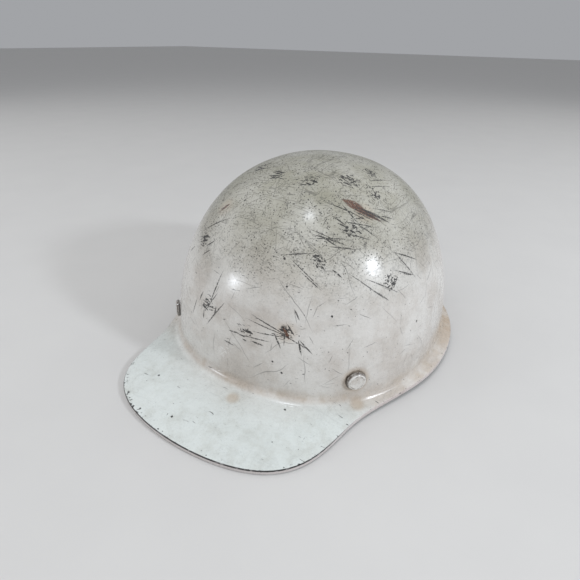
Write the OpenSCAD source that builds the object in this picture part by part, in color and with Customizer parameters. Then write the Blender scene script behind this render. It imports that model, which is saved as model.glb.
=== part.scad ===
// Cap-style hard hat: a smooth one-piece shell on a four-point ratchet suspension.
// Front (visor) is -Y, the wearer's left is +X, and the rim rests on the plane z = 0.

/* [Shell] */
// Height of the crown above the table, outside
dome_h = 143; // [130:1:155]
// Half of the dome's width, outside
dome_half_w = 107.5; // [100:0.5:115]
// Dome's reach in front of the centre, outside
dome_front = 112.5; // [106:0.5:120]
// Dome's reach behind the centre, outside
dome_back = 117; // [110:0.5:124]
// Roundness power of the dome's side view
dome_power = 2.3; // [2:0.05:2.8]
// Roundness power of the dome's plan
plan_power = 2.2; // [2:0.05:2.6]
// Widening of the wall from crown to rim, as a fraction
dome_draft = 0.009; // [0:0.001:0.03]
// How far the crown sits behind the rim's centre
crown_lean = 3.6; // [0:0.2:8]
// Wall thickness of the dome
wall_t = 2.6; // [2:0.1:3.2]
// Thickness of the visor and rim
rim_t = 3.4; // [2.6:0.1:4]

/* [Visor and rim] */
// Visor's reach beyond the dome at the front
visor_len = 58; // [50:1:66]
// Azimuth at which the visor has narrowed halfway to the rim, in degrees
visor_spread = 34; // [28:1:38]
// Softness of the visor's corners, in degrees
visor_corner = 5.2; // [4:0.1:7]
// Width of the rim at the sides and back
rim_w = 9.5; // [7:0.5:12]
// Narrowing of the rim behind the visor's corners
rim_waist = 4; // [0:0.5:5]
// Height of the arch of the rim at the sides
rim_arch = 3; // [0:0.5:5]
// Half angle of the flat stretches at the front and back that the hat rests on
rest_angle = 20; // [10:1:24]
// Slope of the visor's upper face, in degrees
visor_slope = 4; // [2:0.5:6]
// Radius of the fillet between the dome and the rim
fillet_r = 7; // [5:0.5:8]

/* [Rivets] */
// Azimuth of the front rivets from the front, and of the rear ones from the back
rivet_azimuth = 44.5; // [40:0.5:48]
// Height of the rivets above the table
rivet_z = 24; // [23:0.5:25]
// Diameter of a rivet's head
rivet_head_d = 13.5; // [11:0.5:15]
// Diameter of a rivet's shank
rivet_shank_d = 4.6; // [4:0.1:5.2]

/* [Headband] */
// Inner radius of the headband's rear arc
band_rear_r = 80; // [78:0.5:81]
// Inner radius of the headband's front arc
band_front_r = 64; // [62:0.5:66]
// Distance between the centres of those two arcs
band_arc_gap = 38; // [36:0.5:40]
// Y of the rear arc's centre
band_y = 8; // [7:0.5:9]
// Thickness of the headband
band_t = 1.6; // [1.4:0.1:1.7]
// Height of the headband
band_h = 32; // [31:0.5:33]

/* [Ratchet] */
// Module of the rack teeth and the pinion
gear_module = 1; // [1:1:1]
// Number of teeth on the pinion
pinion_teeth = 8; // [8:1:8]
// Diameter of the knob
knob_d = 25; // [22:0.5:25]
// Turn of each arm when the headband is loosened fully, in degrees
arm_open = 20; // [14:1:20]
// Turn of each arm when the headband is tightened fully, in degrees
arm_close = 5.7; // [4:0.1:6]

/* [Crown straps] */
// Width of the crown webbing
strap_w = 22; // [18:1:23]
// Thickness of the crown webbing
strap_t = 1.6; // [1.2:0.1:1.8]
// Height of the lower strap at the crown, centre of its thickness
strap_crown_z = 108; // [104:1:110]

/* [Hidden] */
$fn = 64;
EPS = 0.01;

// Rivet and holder stack, measured inward from the dome's outer face
washer_face = 3.7;
holder_face = 4.8;
holder_plate = 1.6;
pocket_t = 2.6;
pocket_w = 16;
pocket_top = -5;
holder_front = 1.4;
holder_w = 23;
holder_bottom = -15;
holder_back = holder_face + holder_plate;
holder_depth = holder_back + pocket_t + holder_front;
tail_d = 8;
tail_h = 1.5;
washer_d = 12;

// Suspension lug
tongue_t = 1.9;
tongue_w = 15;
tongue_top = -5.8;
bridge_z = -17.5;
bridge_t = 2;
leg_face = holder_depth + 0.8;
leg_t = 2;
leg_w = 30;
block_face = leg_face + 4.4;
block_z = 6;
block_top = 24;
window_z = 13;
window_h = 5;
window_w = 26;
hook_z = 8;
hook_h = 6;
hook_w = 12;
hook_plate = 2.4;
peg = 5;
peg_hole = 6;

// Headband arcs
band_z = 5;
side_c = (pow(band_arc_gap, 2) - pow(band_rear_r - band_front_r, 2)) / (2 * (band_rear_r - band_front_r));
side_r = side_c + band_rear_r;
side_angle = asin(band_arc_gap / (side_r - band_front_r));
band_end = 52;
front_hook_angle = -36;
rear_hook_angle = 43.3;

// Racks: the left arm's layer is the inner one, the right arm's the outer one
arm_t = 1.4;
arm_gap = 0.4;
left_r = band_rear_r + band_t + arm_gap;
right_r = left_r + arm_t + arm_gap;
arm_z = 7;
arm_h = 18;
gear_z = arm_z + arm_h / 2;
arm_tip = 27;
arm_root = 68;
pinion_r = gear_module * pinion_teeth / 2;
rack_tip = pinion_r - 0.85 * gear_module;
rack_root = pinion_r + 1.25 * gear_module;
tooth_tip = pinion_r + 0.85 * gear_module;
tooth_root = pinion_r - 1.15 * gear_module;
tooth_pitch = PI * gear_module;

// Ratchet housing
house_angle = 24;
house_z = 2.6;
house_h = 26.8;
house_cavity_z = arm_z - arm_gap;
house_cavity_h = arm_h + 2 * arm_gap;
base_r0 = band_rear_r - 1.4;
base_r1 = left_r - 0.3;
cover_r0 = right_r + arm_t + 0.3;
cover_r1 = cover_r0 + 2.2;
boss_d = 23;
boss_y = band_y + cover_r0 + 5.5;
recess_d = 18;
recess_y = boss_y - 2;
shaft_d = 6;
shaft_square = 4.2;
square_hole = 4.4;
journal_d = 4;
fit = 0.1;
knob_y = boss_y + 0.4;
knob_len = 8.4;
screw_angle = 17;
screw_z = [house_z + 2, house_z + house_h - 2];

// ---------- Shell surface ----------
// Azimuth a is measured from the front (-Y) toward the wearer's left (+X)

function plan_half(a) = cos(a) > 0 ? dome_front : dome_back;
function plan_r(a) = pow(pow(abs(sin(a)) / dome_half_w, plan_power)
    + pow(abs(cos(a)) / plan_half(a), plan_power), -1 / plan_power);
function dome_scale(z) = pow(1 - pow(z / dome_h, dome_power), 1 / dome_power)
    * (1 + dome_draft * (1 - z / dome_h));
function off_front(a) = a > 180 ? 360 - a : abs(a);
function rim_width(a) = rim_w - rim_waist * exp(-pow((off_front(a) - 60) / 20, 2))
    + (visor_len - rim_w) / (1 + exp((off_front(a) - visor_spread) / visor_corner));
function arch(a) = rim_arch * pow(max(0, (abs(sin(a)) - sin(rest_angle)) / (1 - sin(rest_angle))), 1.5);
function edge_z(a) = rim_t + arch(a);
function fold_z(a) = edge_z(a) + rim_width(a) * tan(visor_slope);

// Upper surface from the crown to the rim's edge, as [distance from the axis, height]
dome_steps = 15;
fillet_steps = 5;
edge_chamfer = 0.6;
edge_land = 3;
function fillet(a) = min(fillet_r, rim_width(a) - 1.6);
function dome_line(a) = let(z0 = fold_z(a) + fillet(a), t0 = asin(pow(z0 / dome_h, dome_power / 2)))
    [for (i = [1:dome_steps]) let(t = 90 - (90 - t0) * i / dome_steps,
        z = dome_h * pow(sin(t), 2 / dome_power)) [plan_r(a) * dome_scale(z), z]];
function fillet_line(a) = let(r = fillet(a), z0 = fold_z(a) + r, r0 = plan_r(a) * dome_scale(z0) + r)
    [for (i = [1:fillet_steps]) let(t = 90 * i / fillet_steps) [r0 - r * cos(t), z0 - r * sin(t)]];
function edge_r(a) = plan_r(a) * dome_scale(0) + rim_width(a);
function upper_line(a) = concat(dome_line(a), fillet_line(a),
    [[edge_r(a) - edge_chamfer, edge_z(a)]]);
function upper_t(i) = i < dome_steps ? wall_t
    : wall_t + (rim_t - wall_t) * min(1, (i - dome_steps + 1) / fillet_steps);

// Lower surface: the upper one moved inward by the thickness along its own normal
function line_dir(line, i) = let(d = line[min(i + 1, len(line) - 1)] - line[max(i - 1, 0)]) d / norm(d);
function inward(line, i) = let(d = line_dir(line, i)) line[i] + upper_t(i) * [d[1], -d[0]];
function shell_loop(a) = let(up = upper_line(a), n = len(up), r = edge_r(a), z = edge_z(a)) concat(up,
    [[r, z - edge_chamfer], [r, z - rim_t + edge_chamfer], [r - edge_chamfer, z - rim_t],
     [r - edge_chamfer - edge_land, z - rim_t]],
    [for (i = [n - 2:-1:0]) inward(up, i)]);
function place(a, p) = [p[0] * sin(a), -p[0] * cos(a) + crown_lean * p[1] / dome_h, p[1]];

stations = concat([for (a = [0:3:57]) a], [for (a = [60:5:300]) a], [for (a = [303:3:357]) a]);

module shell_skin() {
    loops = [for (a = stations) [for (p = shell_loop(a)) place(a, p)]];
    n = len(stations);
    m = len(loops[0]);
    points = concat([for (l = loops) each l],
        [[0, crown_lean, dome_h], [0, crown_lean, dome_h - wall_t]]);
    top = n * m;
    walls = [for (i = [0:n - 1], j = [0:m - 2]) let(k = (i + 1) % n)
        each [[i * m + j, k * m + j, k * m + j + 1], [i * m + j, k * m + j + 1, i * m + j + 1]]];
    caps = [for (i = [0:n - 1]) let(k = (i + 1) % n)
        each [[top, k * m, i * m], [top + 1, i * m + m - 1, k * m + m - 1]]];
    polyhedron(points, concat(walls, caps), convexity = 6);
}

// ---------- Frames ----------
// On the wall at a rivet: +X points outward, +Z up, the origin on the dome's outer face
function wall_normal(a) = atan2(
    sign(sin(a)) * pow(abs(sin(a)), plan_power - 1) / pow(dome_half_w, plan_power),
    sign(cos(a)) * pow(abs(cos(a)), plan_power - 1) / pow(plan_half(a), plan_power));
function wall_r(a) = plan_r(a) * dome_scale(rivet_z);
front_a = rivet_azimuth;
rear_a = 180 - rivet_azimuth;
rivet_sites = [front_a, -front_a, rear_a, -rear_a];

module on_wall(a) {
    translate(place(a, [wall_r(a), rivet_z]))
        rotate([0, 0, wall_normal(a) - 90])
        children();
}

// On the headband's outer face at the left side: front hooks lie on the side arc, rear ones on the rear arc
function hook_angle(a) = a == front_a ? front_hook_angle : rear_hook_angle;
function hook_point(a) = let(t = hook_angle(a), r = (a == front_a ? side_r : band_rear_r) + band_t)
    [(a == front_a ? -side_c : 0) + r * cos(t), band_y + r * sin(t), rivet_z];
function hook_reach(a) = norm(hook_point(a) - place(a, [wall_r(a), rivet_z]));

module on_band(a) {
    translate(hook_point(a)) rotate([0, 0, hook_angle(a)]) children();
}

module slab(x0, x1, y, z0, z1) {
    translate([x0, -y / 2, z0]) cube([x1 - x0, y, z1 - z0]);
}

module across(x0, x1, d, z) {
    translate([x0, 0, z]) rotate([0, 90, 0]) cylinder(h = x1 - x0, d = d);
}

// Part of a ring about the rear arc's axis: angles run from +X
module ring_part(r0, r1, z, h, from, to) {
    rotate([0, 0, from])
        rotate_extrude(angle = to - from)
        translate([r0, z]) square([r1 - r0, h]);
}

module at_rear() {
    translate([0, band_y, 0]) children();
}

// Along +Y at the pinion's axis
module along_y(y0, y1, d) {
    translate([0, y0, gear_z]) rotate([-90, 0, 0]) cylinder(h = y1 - y0, d = d);
}

module square_bar(y0, y1, side) {
    translate([-side / 2, y0, gear_z - side / 2]) cube([side, y1 - y0, side]);
}

module mirrored(flip) {
    mirror([flip ? 1 : 0, 0, 0]) children();
}

// ---------- Shell group ----------

module shell() {
    color("ivory") difference() {
        shell_skin();
        for (a = rivet_sites) on_wall(a) across(-6, 3, rivet_shank_d + fit, 0);
    }
}

module rivet() {
    head_gap = 0.45;
    head_h = 2.7;
    head_edge = 0.9;
    head_r = rivet_head_d / 2;
    shank_r = rivet_shank_d / 2;
    rotate([0, 90, 0]) rotate_extrude() polygon([
        [0, -holder_back - tail_h], [tail_d / 2 - 0.8, -holder_back - tail_h],
        [tail_d / 2, -holder_back - 0.6], [tail_d / 2, -holder_back],
        [shank_r, -holder_back], [shank_r, head_gap], [head_r - 0.3, head_gap], [head_r, head_gap + 0.3],
        [head_r, head_h - head_edge], [head_r - 0.3, head_h - 0.35], [head_r - head_edge, head_h],
        [0, head_h + 0.35]
    ]);
}

module rivets() {
    color("whitesmoke") for (a = rivet_sites) on_wall(a) rivet();
}

module rivet_washers() {
    color("gainsboro") for (a = rivet_sites) on_wall(a) difference() {
        across(-holder_face, -washer_face, washer_d, 0);
        across(-holder_face - 1, 0, rivet_shank_d + fit, 0);
    }
}

module lug_holder(a) {
    color("dimgray") on_wall(a) difference() {
        union() {
            slab(-holder_depth, -holder_face, holder_w, holder_bottom, -3);
            slab(-holder_back, -holder_face, 16, -3 - EPS, 0);
            across(-holder_back, -holder_face, 16, 0);
        }
        slab(-holder_back - pocket_t, -holder_back, pocket_w, holder_bottom - 1, pocket_top);
        slab(-holder_depth - 1, -holder_back, pocket_w, pocket_top + 0.8, 9);
        across(-holder_back - 1, 0, rivet_shank_d + fit, 0);
    }
}

module lug_holder_front_left() { lug_holder(front_a); }
module lug_holder_front_right() { mirrored(true) lug_holder(front_a); }
module lug_holder_rear_left() { lug_holder(rear_a); }
module lug_holder_rear_right() { mirrored(true) lug_holder(rear_a); }

// ---------- Suspension ----------

module lug(a) {
    tongue_x = -holder_back - (pocket_t - tongue_t) / 2;
    color("dimgray") {
        on_wall(a) difference() {
            union() {
                slab(tongue_x - tongue_t, tongue_x, tongue_w, bridge_z, tongue_top);
                slab(-leg_face - leg_t, tongue_x, tongue_w, bridge_z, bridge_z + bridge_t);
                slab(-leg_face - leg_t, -leg_face, holder_w, bridge_z, block_z + 4);
                slab(-block_face - leg_t, -leg_face, holder_w, block_z, block_z + 4);
                slab(-block_face - leg_t, -block_face, leg_w, block_z, block_top);
            }
            slab(-block_face - leg_t - 1, -block_face + 1, window_w, window_z, window_z + window_h);
        }
        on_wall(a) slab(hook_plate / 2 - hook_reach(a), -block_face, hook_w, hook_z - 2, hook_z + 2);
        on_band(a) {
            slab(0, hook_plate, hook_w + 2, hook_z - hook_h / 2, hook_z + hook_h / 2);
            slab(-band_t - 0.8, 1, peg, hook_z - peg / 2, hook_z + peg / 2);
            slab(-band_t - 1.6, -band_t - 0.2, peg + 3, hook_z - peg / 2, hook_z + peg / 2);
        }
    }
}

module lug_front_left() { lug(front_a); }
module lug_front_right() { mirrored(true) lug(front_a); }
module lug_rear_left() { lug(rear_a); }
module lug_rear_right() { mirrored(true) lug(rear_a); }

// Strap path in its own upright plane: out of one lug's window, over the crown, into the other's
strap_steps = 24;
strap_power = 2.2;
inner_off = block_face + leg_t + 2.1;
outer_off = block_face - 2.2;
function strap_half(side) = wall_r(side < 0 ? rear_a : front_a) - inner_off;
function strap_hook(side) = let(r = wall_r(side < 0 ? rear_a : front_a))
    [[side * (r - outer_off), rivet_z + block_top - 1], [side * (r - outer_off), rivet_z + window_z + 2.5],
     [side * (r - inner_off), rivet_z + window_z + 2.5]];
function strap_arch(top) = let(z0 = rivet_z + window_z + 8) [for (i = [0:strap_steps])
    let(t = 180 * i / strap_steps, s = cos(t), c = sin(t), side = s < 0 ? -1 : 1)
    [strap_half(side) * sign(s) * pow(abs(s), 2 / strap_power), z0 + (top - z0) * pow(c, 2 / strap_power)]];
function strap_path(top) = let(h = strap_hook(-1))
    concat(strap_hook(1), strap_arch(top), [h[2], h[1], h[0]]);
function unit(v) = v / norm(v);
function turn_left(v) = [-v[1], v[0]];
function offset_path(p, d) = [for (i = [0:len(p) - 1])
    let(a = turn_left(unit(p[max(i, 1)] - p[max(i, 1) - 1])), b = turn_left(unit(p[min(i + 1, len(p) - 1)]
        - p[min(i, len(p) - 2)])), m = unit(a + b)) p[i] + m * d / (m * a)];
function reversed(v) = [for (i = [len(v) - 1:-1:0]) v[i]];

module crown_strap(top) {
    path = strap_path(top);
    outline = concat(offset_path(path, strap_t / 2), reversed(offset_path(path, -strap_t / 2)));
    rotate([90, 0, front_a - 90])
        linear_extrude(height = strap_w, center = true)
        polygon(outline);
}

module crown_strap_lower() { color("tan") crown_strap(strap_crown_z); }
module crown_strap_upper() { color("tan") mirrored(true) crown_strap(strap_crown_z + strap_t + 0.6); }

module crown_patch() {
    z = strap_crown_z + 1.5 * strap_t + 0.8;
    color("saddlebrown") translate([0, 0, z]) cylinder(h = 1.2, d = 34);
}

// Line that follows the headband's arcs at an offset from its inner face, from the wearer's
// left to the right: rear arc (up to rear_to), side arc (from side_from), front arc and back
function arc(c, r, from, to, step = 3) = let(n = ceil(abs(to - from) / step))
    [for (i = [0:n]) let(t = from + (to - from) * i / n) c + r * [cos(t), sin(t)]];
function half_line(o, rear_to, side_from) = concat(
    rear_to > 0 ? arc([0, band_y], band_rear_r + o, rear_to, 3) : [],
    arc([-side_c, band_y], side_r + o, -side_from, -side_angle),
    arc([0, band_y - band_arc_gap], band_front_r + o, -side_angle - 3, -87));
function band_line(o, rear_to, side_from) = let(h = half_line(o, rear_to, side_from))
    concat(h, [for (i = [len(h) - 1:-1:0]) [-h[i][0], h[i][1]]]);

module band_strip(o0, o1, z, h, rear_to, side_from = 0) {
    translate([0, 0, z]) linear_extrude(height = h)
        polygon(concat(band_line(o1, rear_to, side_from), reversed(band_line(o0, rear_to, side_from))));
}

module headband() {
    slot_w = 16;
    slot_h = 3;
    color("darkslategray") difference() {
        band_strip(0, band_t, band_z, band_h, band_end);
        for (flip = [false, true]) mirrored(flip) {
            for (a = [front_a, rear_a]) on_band(a)
                slab(-band_t - 2, 2, peg_hole, hook_z - peg_hole / 2, hook_z + peg_hole / 2);
            for (turn = [-8, -22]) translate([-side_c, band_y, 0]) rotate([0, 0, turn])
                slab(side_r - 2, side_r + 4, slot_w, band_z + band_h - 7, band_z + band_h - 7 + slot_h);
        }
    }
}

module brow_pad() {
    color("sienna") band_strip(-5, -0.3, band_z - 1, 24, 0, 12);
}

module arm_guide(r) {
    from = band_end - 9;
    to = band_end - 1;
    inner = band_rear_r + band_t;
    color("dimgray") at_rear() {
        ring_part(r + arm_gap, r + arm_gap + 1.4, band_z + 0.2, 21.6, from, to);
        for (z = [band_z + 0.2, arm_z + arm_h + arm_gap])
            ring_part(inner, r + arm_gap + EPS, z, 1.4, from, to);
    }
}

module arm_guide_left() { arm_guide(left_r + arm_t); }
module arm_guide_right() { mirrored(true) arm_guide(right_r + arm_t); }

// ---------- Ratchet ----------

// One rack arm for the left side; up = 1 puts its teeth on the window's upper edge, -1 on the lower
module rack_arm(r, up) {
    mid_r = r + arm_t / 2;
    step = tooth_pitch / mid_r * 180 / PI;
    window_from = 90 - arm_close - 5;
    window_to = 90 + arm_open + 4.5;
    low = up > 0 ? gear_z - tooth_tip - 0.5 : gear_z - rack_root;
    high = up > 0 ? gear_z + rack_root : gear_z + tooth_tip + 0.5;
    first = ceil((window_from + 1 - 90) / step - 0.5);
    last = floor((window_to - 1 - 90) / step - 0.5);
    color("black") at_rear() {
        difference() {
            ring_part(r, r + arm_t, arm_z, arm_h, 90 - arm_root, 90 + arm_tip);
            ring_part(r - 1, r + arm_t + 1, low, high - low, window_from, window_to);
        }
        for (i = [first:last]) rotate([0, 0, 90 + (i + 0.5) * step])
            translate([r, 0, gear_z]) rotate([90, 0, 90])
            linear_extrude(height = arm_t) rack_tooth(up);
    }
}

module rack_tooth(up) {
    half_root = 0.95 * gear_module;
    half_tip = 0.32 * gear_module;
    polygon([[-half_root, up * (rack_root + 0.05)], [half_root, up * (rack_root + 0.05)],
             [half_tip, up * rack_tip], [-half_tip, up * rack_tip]]);
}

module rack_arm_left() { rack_arm(left_r, 1); }
module rack_arm_right() { mirrored(true) rack_arm(right_r, -1); }

module housing_screw_holes(d, r0, r1) {
    at_rear() for (turn = [90 - screw_angle, 90 + screw_angle], z = screw_z)
        rotate([0, 0, turn]) across(r0, r1, d, z);
}

module ratchet_base() {
    color("dimgray") difference() {
        at_rear() ring_part(base_r0, base_r1, house_z, house_h, 90 - house_angle, 90 + house_angle);
        along_y(band_y + base_r0 - 2, band_y + base_r1 + 2, journal_d + fit);
        housing_screw_holes(1.9, base_r0 - 1, base_r1 + 1);
    }
}

module ratchet_cover() {
    notch_count = 24;
    from = 90 - house_angle;
    to = 90 + house_angle;
    color("dimgray") difference() {
        union() {
            at_rear() difference() {
                ring_part(base_r1, cover_r1, house_z, house_h, from, to);
                ring_part(base_r1 - 1, cover_r0, house_cavity_z, house_cavity_h, from - 2, to + 2);
            }
            along_y(band_y + cover_r0 + 0.1, boss_y, boss_d);
        }
        along_y(band_y + cover_r0 - 2, boss_y + 1, shaft_d + fit);
        along_y(recess_y, boss_y + 1, recess_d);
        for (i = [1:notch_count]) translate([0, 0, gear_z]) rotate([0, i * 360 / notch_count, 0])
            translate([0, recess_y, recess_d / 2]) rotate([-90, 0, 0]) cylinder(h = 3, d = 1.3, $fn = 24);
        housing_screw_holes(2.4, base_r1 - 1, cover_r1 + 1);
        housing_screw_holes(4.2, cover_r1 - 1, cover_r1 + 1);
    }
}

module housing_screws() {
    color("silver") at_rear() for (turn = [90 - screw_angle, 90 + screw_angle], z = screw_z)
        rotate([0, 0, turn]) difference() {
            union() {
                across(base_r0 + 0.4, cover_r1 - 0.5, 1.9, z);
                across(cover_r1 - 1, cover_r1 + 0.1, 4, z);
            }
            slab(cover_r1 - 0.4, cover_r1 + 1, 0.7, z - 1.4, z + 1.4);
        }
}

module nape_pad() {
    color("sienna") at_rear() ring_part(base_r0 - 4.3, base_r0 - 0.3, house_z, house_h, 64, 116);
}

module pinion() {
    gear_from = band_y + left_r;
    gear_to = band_y + right_r + arm_t;
    half_root = 0.8 * gear_module;
    half_tip = 0.28 * gear_module;
    color("white") difference() {
        union() {
            along_y(gear_from, gear_to, 2 * tooth_root);
            for (i = [0:pinion_teeth - 1]) translate([0, gear_to, gear_z])
                rotate([90, i * 360 / pinion_teeth, 0]) linear_extrude(height = gear_to - gear_from)
                polygon([[-half_root, tooth_root - 0.3], [half_root, tooth_root - 0.3],
                         [half_tip, tooth_tip], [-half_tip, tooth_tip]]);
            along_y(band_y + base_r0 + 0.3, gear_from + EPS, journal_d);
            along_y(gear_to - EPS, recess_y + 0.1, shaft_d);
            square_bar(recess_y, knob_y + 4.5, shaft_square);
        }
        along_y(gear_to, knob_y + 5, 2.2);
    }
}

module detent_spring() {
    y0 = recess_y + 0.3;
    t = 1;
    nose_r = recess_d / 2 - 0.55;
    color("orange") difference() {
        union() {
            along_y(y0, y0 + t, 9);
            for (turn = [0, 180]) translate([0, 0, gear_z]) rotate([0, turn, 0]) {
                translate([3.4, y0, -0.6]) cube([nose_r - 4, t, 1.2]);
                translate([nose_r - 0.5, y0, 0]) rotate([-90, 0, 0]) cylinder(h = t, d = 1.2);
            }
        }
        square_bar(y0 - 1, y0 + t + 1, square_hole);
    }
}

module ratchet_knob() {
    scallops = 10;
    scallop_d = 5;
    color("dimgray") difference() {
        union() {
            along_y(knob_y, knob_y + knob_len - 1, knob_d);
            along_y(knob_y, knob_y + knob_len, knob_d - 3);
        }
        for (i = [1:scallops]) translate([0, 0, gear_z]) rotate([0, (i - 0.5) * 360 / scallops, 0])
            translate([0, knob_y + 1.6, knob_d / 2 + 1.3]) rotate([-90, 0, 0])
                cylinder(h = knob_len, d = scallop_d);
        square_bar(knob_y - 1, knob_y + 4.6, square_hole);
        along_y(knob_y, knob_y + knob_len + 1, 2.4);
        along_y(knob_y + 6, knob_y + knob_len + 1, 7);
    }
}

module knob_screw() {
    color("silver") difference() {
        union() {
            along_y(recess_y - 2, knob_y + 6 + EPS, 2.1);
            along_y(knob_y + 6, knob_y + 7.6, 6.4);
        }
        for (turn = [0, 90]) translate([0, knob_y + 6.8, gear_z]) rotate([0, turn, 0])
            translate([-1.8, 0, -0.4]) cube([3.6, 1, 0.8]);
    }
}

shell();
rivets();
rivet_washers();
lug_holder_front_left();
lug_holder_front_right();
lug_holder_rear_left();
lug_holder_rear_right();
lug_front_left();
lug_front_right();
lug_rear_left();
lug_rear_right();
crown_strap_lower();
crown_strap_upper();
crown_patch();
headband();
brow_pad();
arm_guide_left();
arm_guide_right();
rack_arm_left();
rack_arm_right();
ratchet_base();
ratchet_cover();
housing_screws();
nape_pad();
pinion();
detent_spring();
ratchet_knob();
knob_screw();
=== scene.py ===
import math
import random

import bmesh
import bpy
from mathutils import Matrix, Vector


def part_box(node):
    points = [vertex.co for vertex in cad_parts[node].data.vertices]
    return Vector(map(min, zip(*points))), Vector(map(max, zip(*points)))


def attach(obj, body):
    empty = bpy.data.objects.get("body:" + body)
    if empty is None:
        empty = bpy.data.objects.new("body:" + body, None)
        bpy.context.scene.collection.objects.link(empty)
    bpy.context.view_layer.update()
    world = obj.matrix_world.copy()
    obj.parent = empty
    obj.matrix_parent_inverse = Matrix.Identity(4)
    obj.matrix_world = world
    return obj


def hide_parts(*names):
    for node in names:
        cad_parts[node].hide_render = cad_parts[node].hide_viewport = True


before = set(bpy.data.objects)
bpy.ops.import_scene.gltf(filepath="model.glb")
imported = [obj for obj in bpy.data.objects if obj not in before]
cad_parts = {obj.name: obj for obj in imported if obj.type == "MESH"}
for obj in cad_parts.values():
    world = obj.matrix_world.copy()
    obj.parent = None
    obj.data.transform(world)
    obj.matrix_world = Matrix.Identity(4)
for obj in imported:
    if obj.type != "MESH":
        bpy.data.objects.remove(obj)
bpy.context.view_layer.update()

bl_info = {
    "name": "Cap-style hard hat",
    "version": (1, 0, 0),
    "blender": (4, 5, 0),
    "location": "3D View > Sidebar > Hard Hat",
    "description": "Builds the finished surfaces of a hard hat around its working parts",
    "category": "Object",
}

MM = 0.001

# Places that follow from the frame
SHELL_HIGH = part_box("shell")[1]
PATCH_LOW, PATCH_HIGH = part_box("crown_patch")
BAND_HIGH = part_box("headband")[1]
RIVET_LOW, RIVET_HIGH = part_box("rivets")
STRAP_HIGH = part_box("crown_strap_lower")[1]


# ---------- Working in edit mode ----------

def only(piece):
    """Select one piece and nothing else."""
    if bpy.context.mode != "OBJECT":
        bpy.ops.object.mode_set(mode="OBJECT")
    bpy.ops.object.select_all(action="DESELECT")
    piece.select_set(True)
    bpy.context.view_layer.objects.active = piece


def edit(piece, mode="VERT"):
    only(piece)
    bpy.ops.object.mode_set(mode="EDIT")
    bpy.ops.mesh.select_mode(type=mode)
    bpy.ops.mesh.select_all(action="DESELECT")


def cage(piece):
    return bmesh.from_edit_mesh(piece.data)


def leave_edit():
    bpy.ops.object.mode_set(mode="OBJECT")


def pick_faces(piece, test):
    """Select the faces whose centre and normal pass a test."""
    mesh = cage(piece)
    for face in mesh.faces:
        face.select_set(bool(test(face.calc_center_median(), face.normal)))
    mesh.select_flush_mode()
    bmesh.update_edit_mesh(piece.data)


def settle(piece):
    """Put a new piece's place into its mesh, so that its object sits at the origin."""
    only(piece)
    bpy.ops.object.transform_apply(location=True, rotation=True, scale=True)


def start(adder, name, **settings):
    """Add a primitive and name it."""
    if bpy.context.mode != "OBJECT":
        bpy.ops.object.mode_set(mode="OBJECT")
    bpy.ops.object.select_all(action="DESELECT")
    adder(**settings)
    piece = bpy.context.active_object
    piece.name = name
    piece.data.name = name
    return piece


def finish_modifiers(piece):
    only(piece)
    for modifier in list(piece.modifiers):
        bpy.ops.object.modifier_apply(modifier=modifier.name)


def smooth(piece, angle=35):
    only(piece)
    bpy.ops.object.shade_smooth_by_angle(angle=math.radians(angle))


def outward(piece):
    edit(piece)
    bpy.ops.mesh.select_all(action="SELECT")
    bpy.ops.mesh.remove_doubles(threshold=1e-6)
    bpy.ops.mesh.normals_make_consistent(inside=False)
    leave_edit()


def dress(piece, material):
    piece.data.materials.clear()
    piece.data.materials.append(material)


def join(pieces, name):
    only(pieces[0])
    for piece in pieces:
        piece.select_set(True)
    bpy.ops.object.join()
    whole = bpy.context.active_object
    whole.name = name
    return whole


def put_in(piece, body, slot, *nodes):
    """Attach a finished piece to the body it rides on, and hide the nodes it stands for; the slot argument
    is not used.
    """
    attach(piece, body)
    if nodes:
        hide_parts(*nodes)


# ---------- Materials ----------

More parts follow.
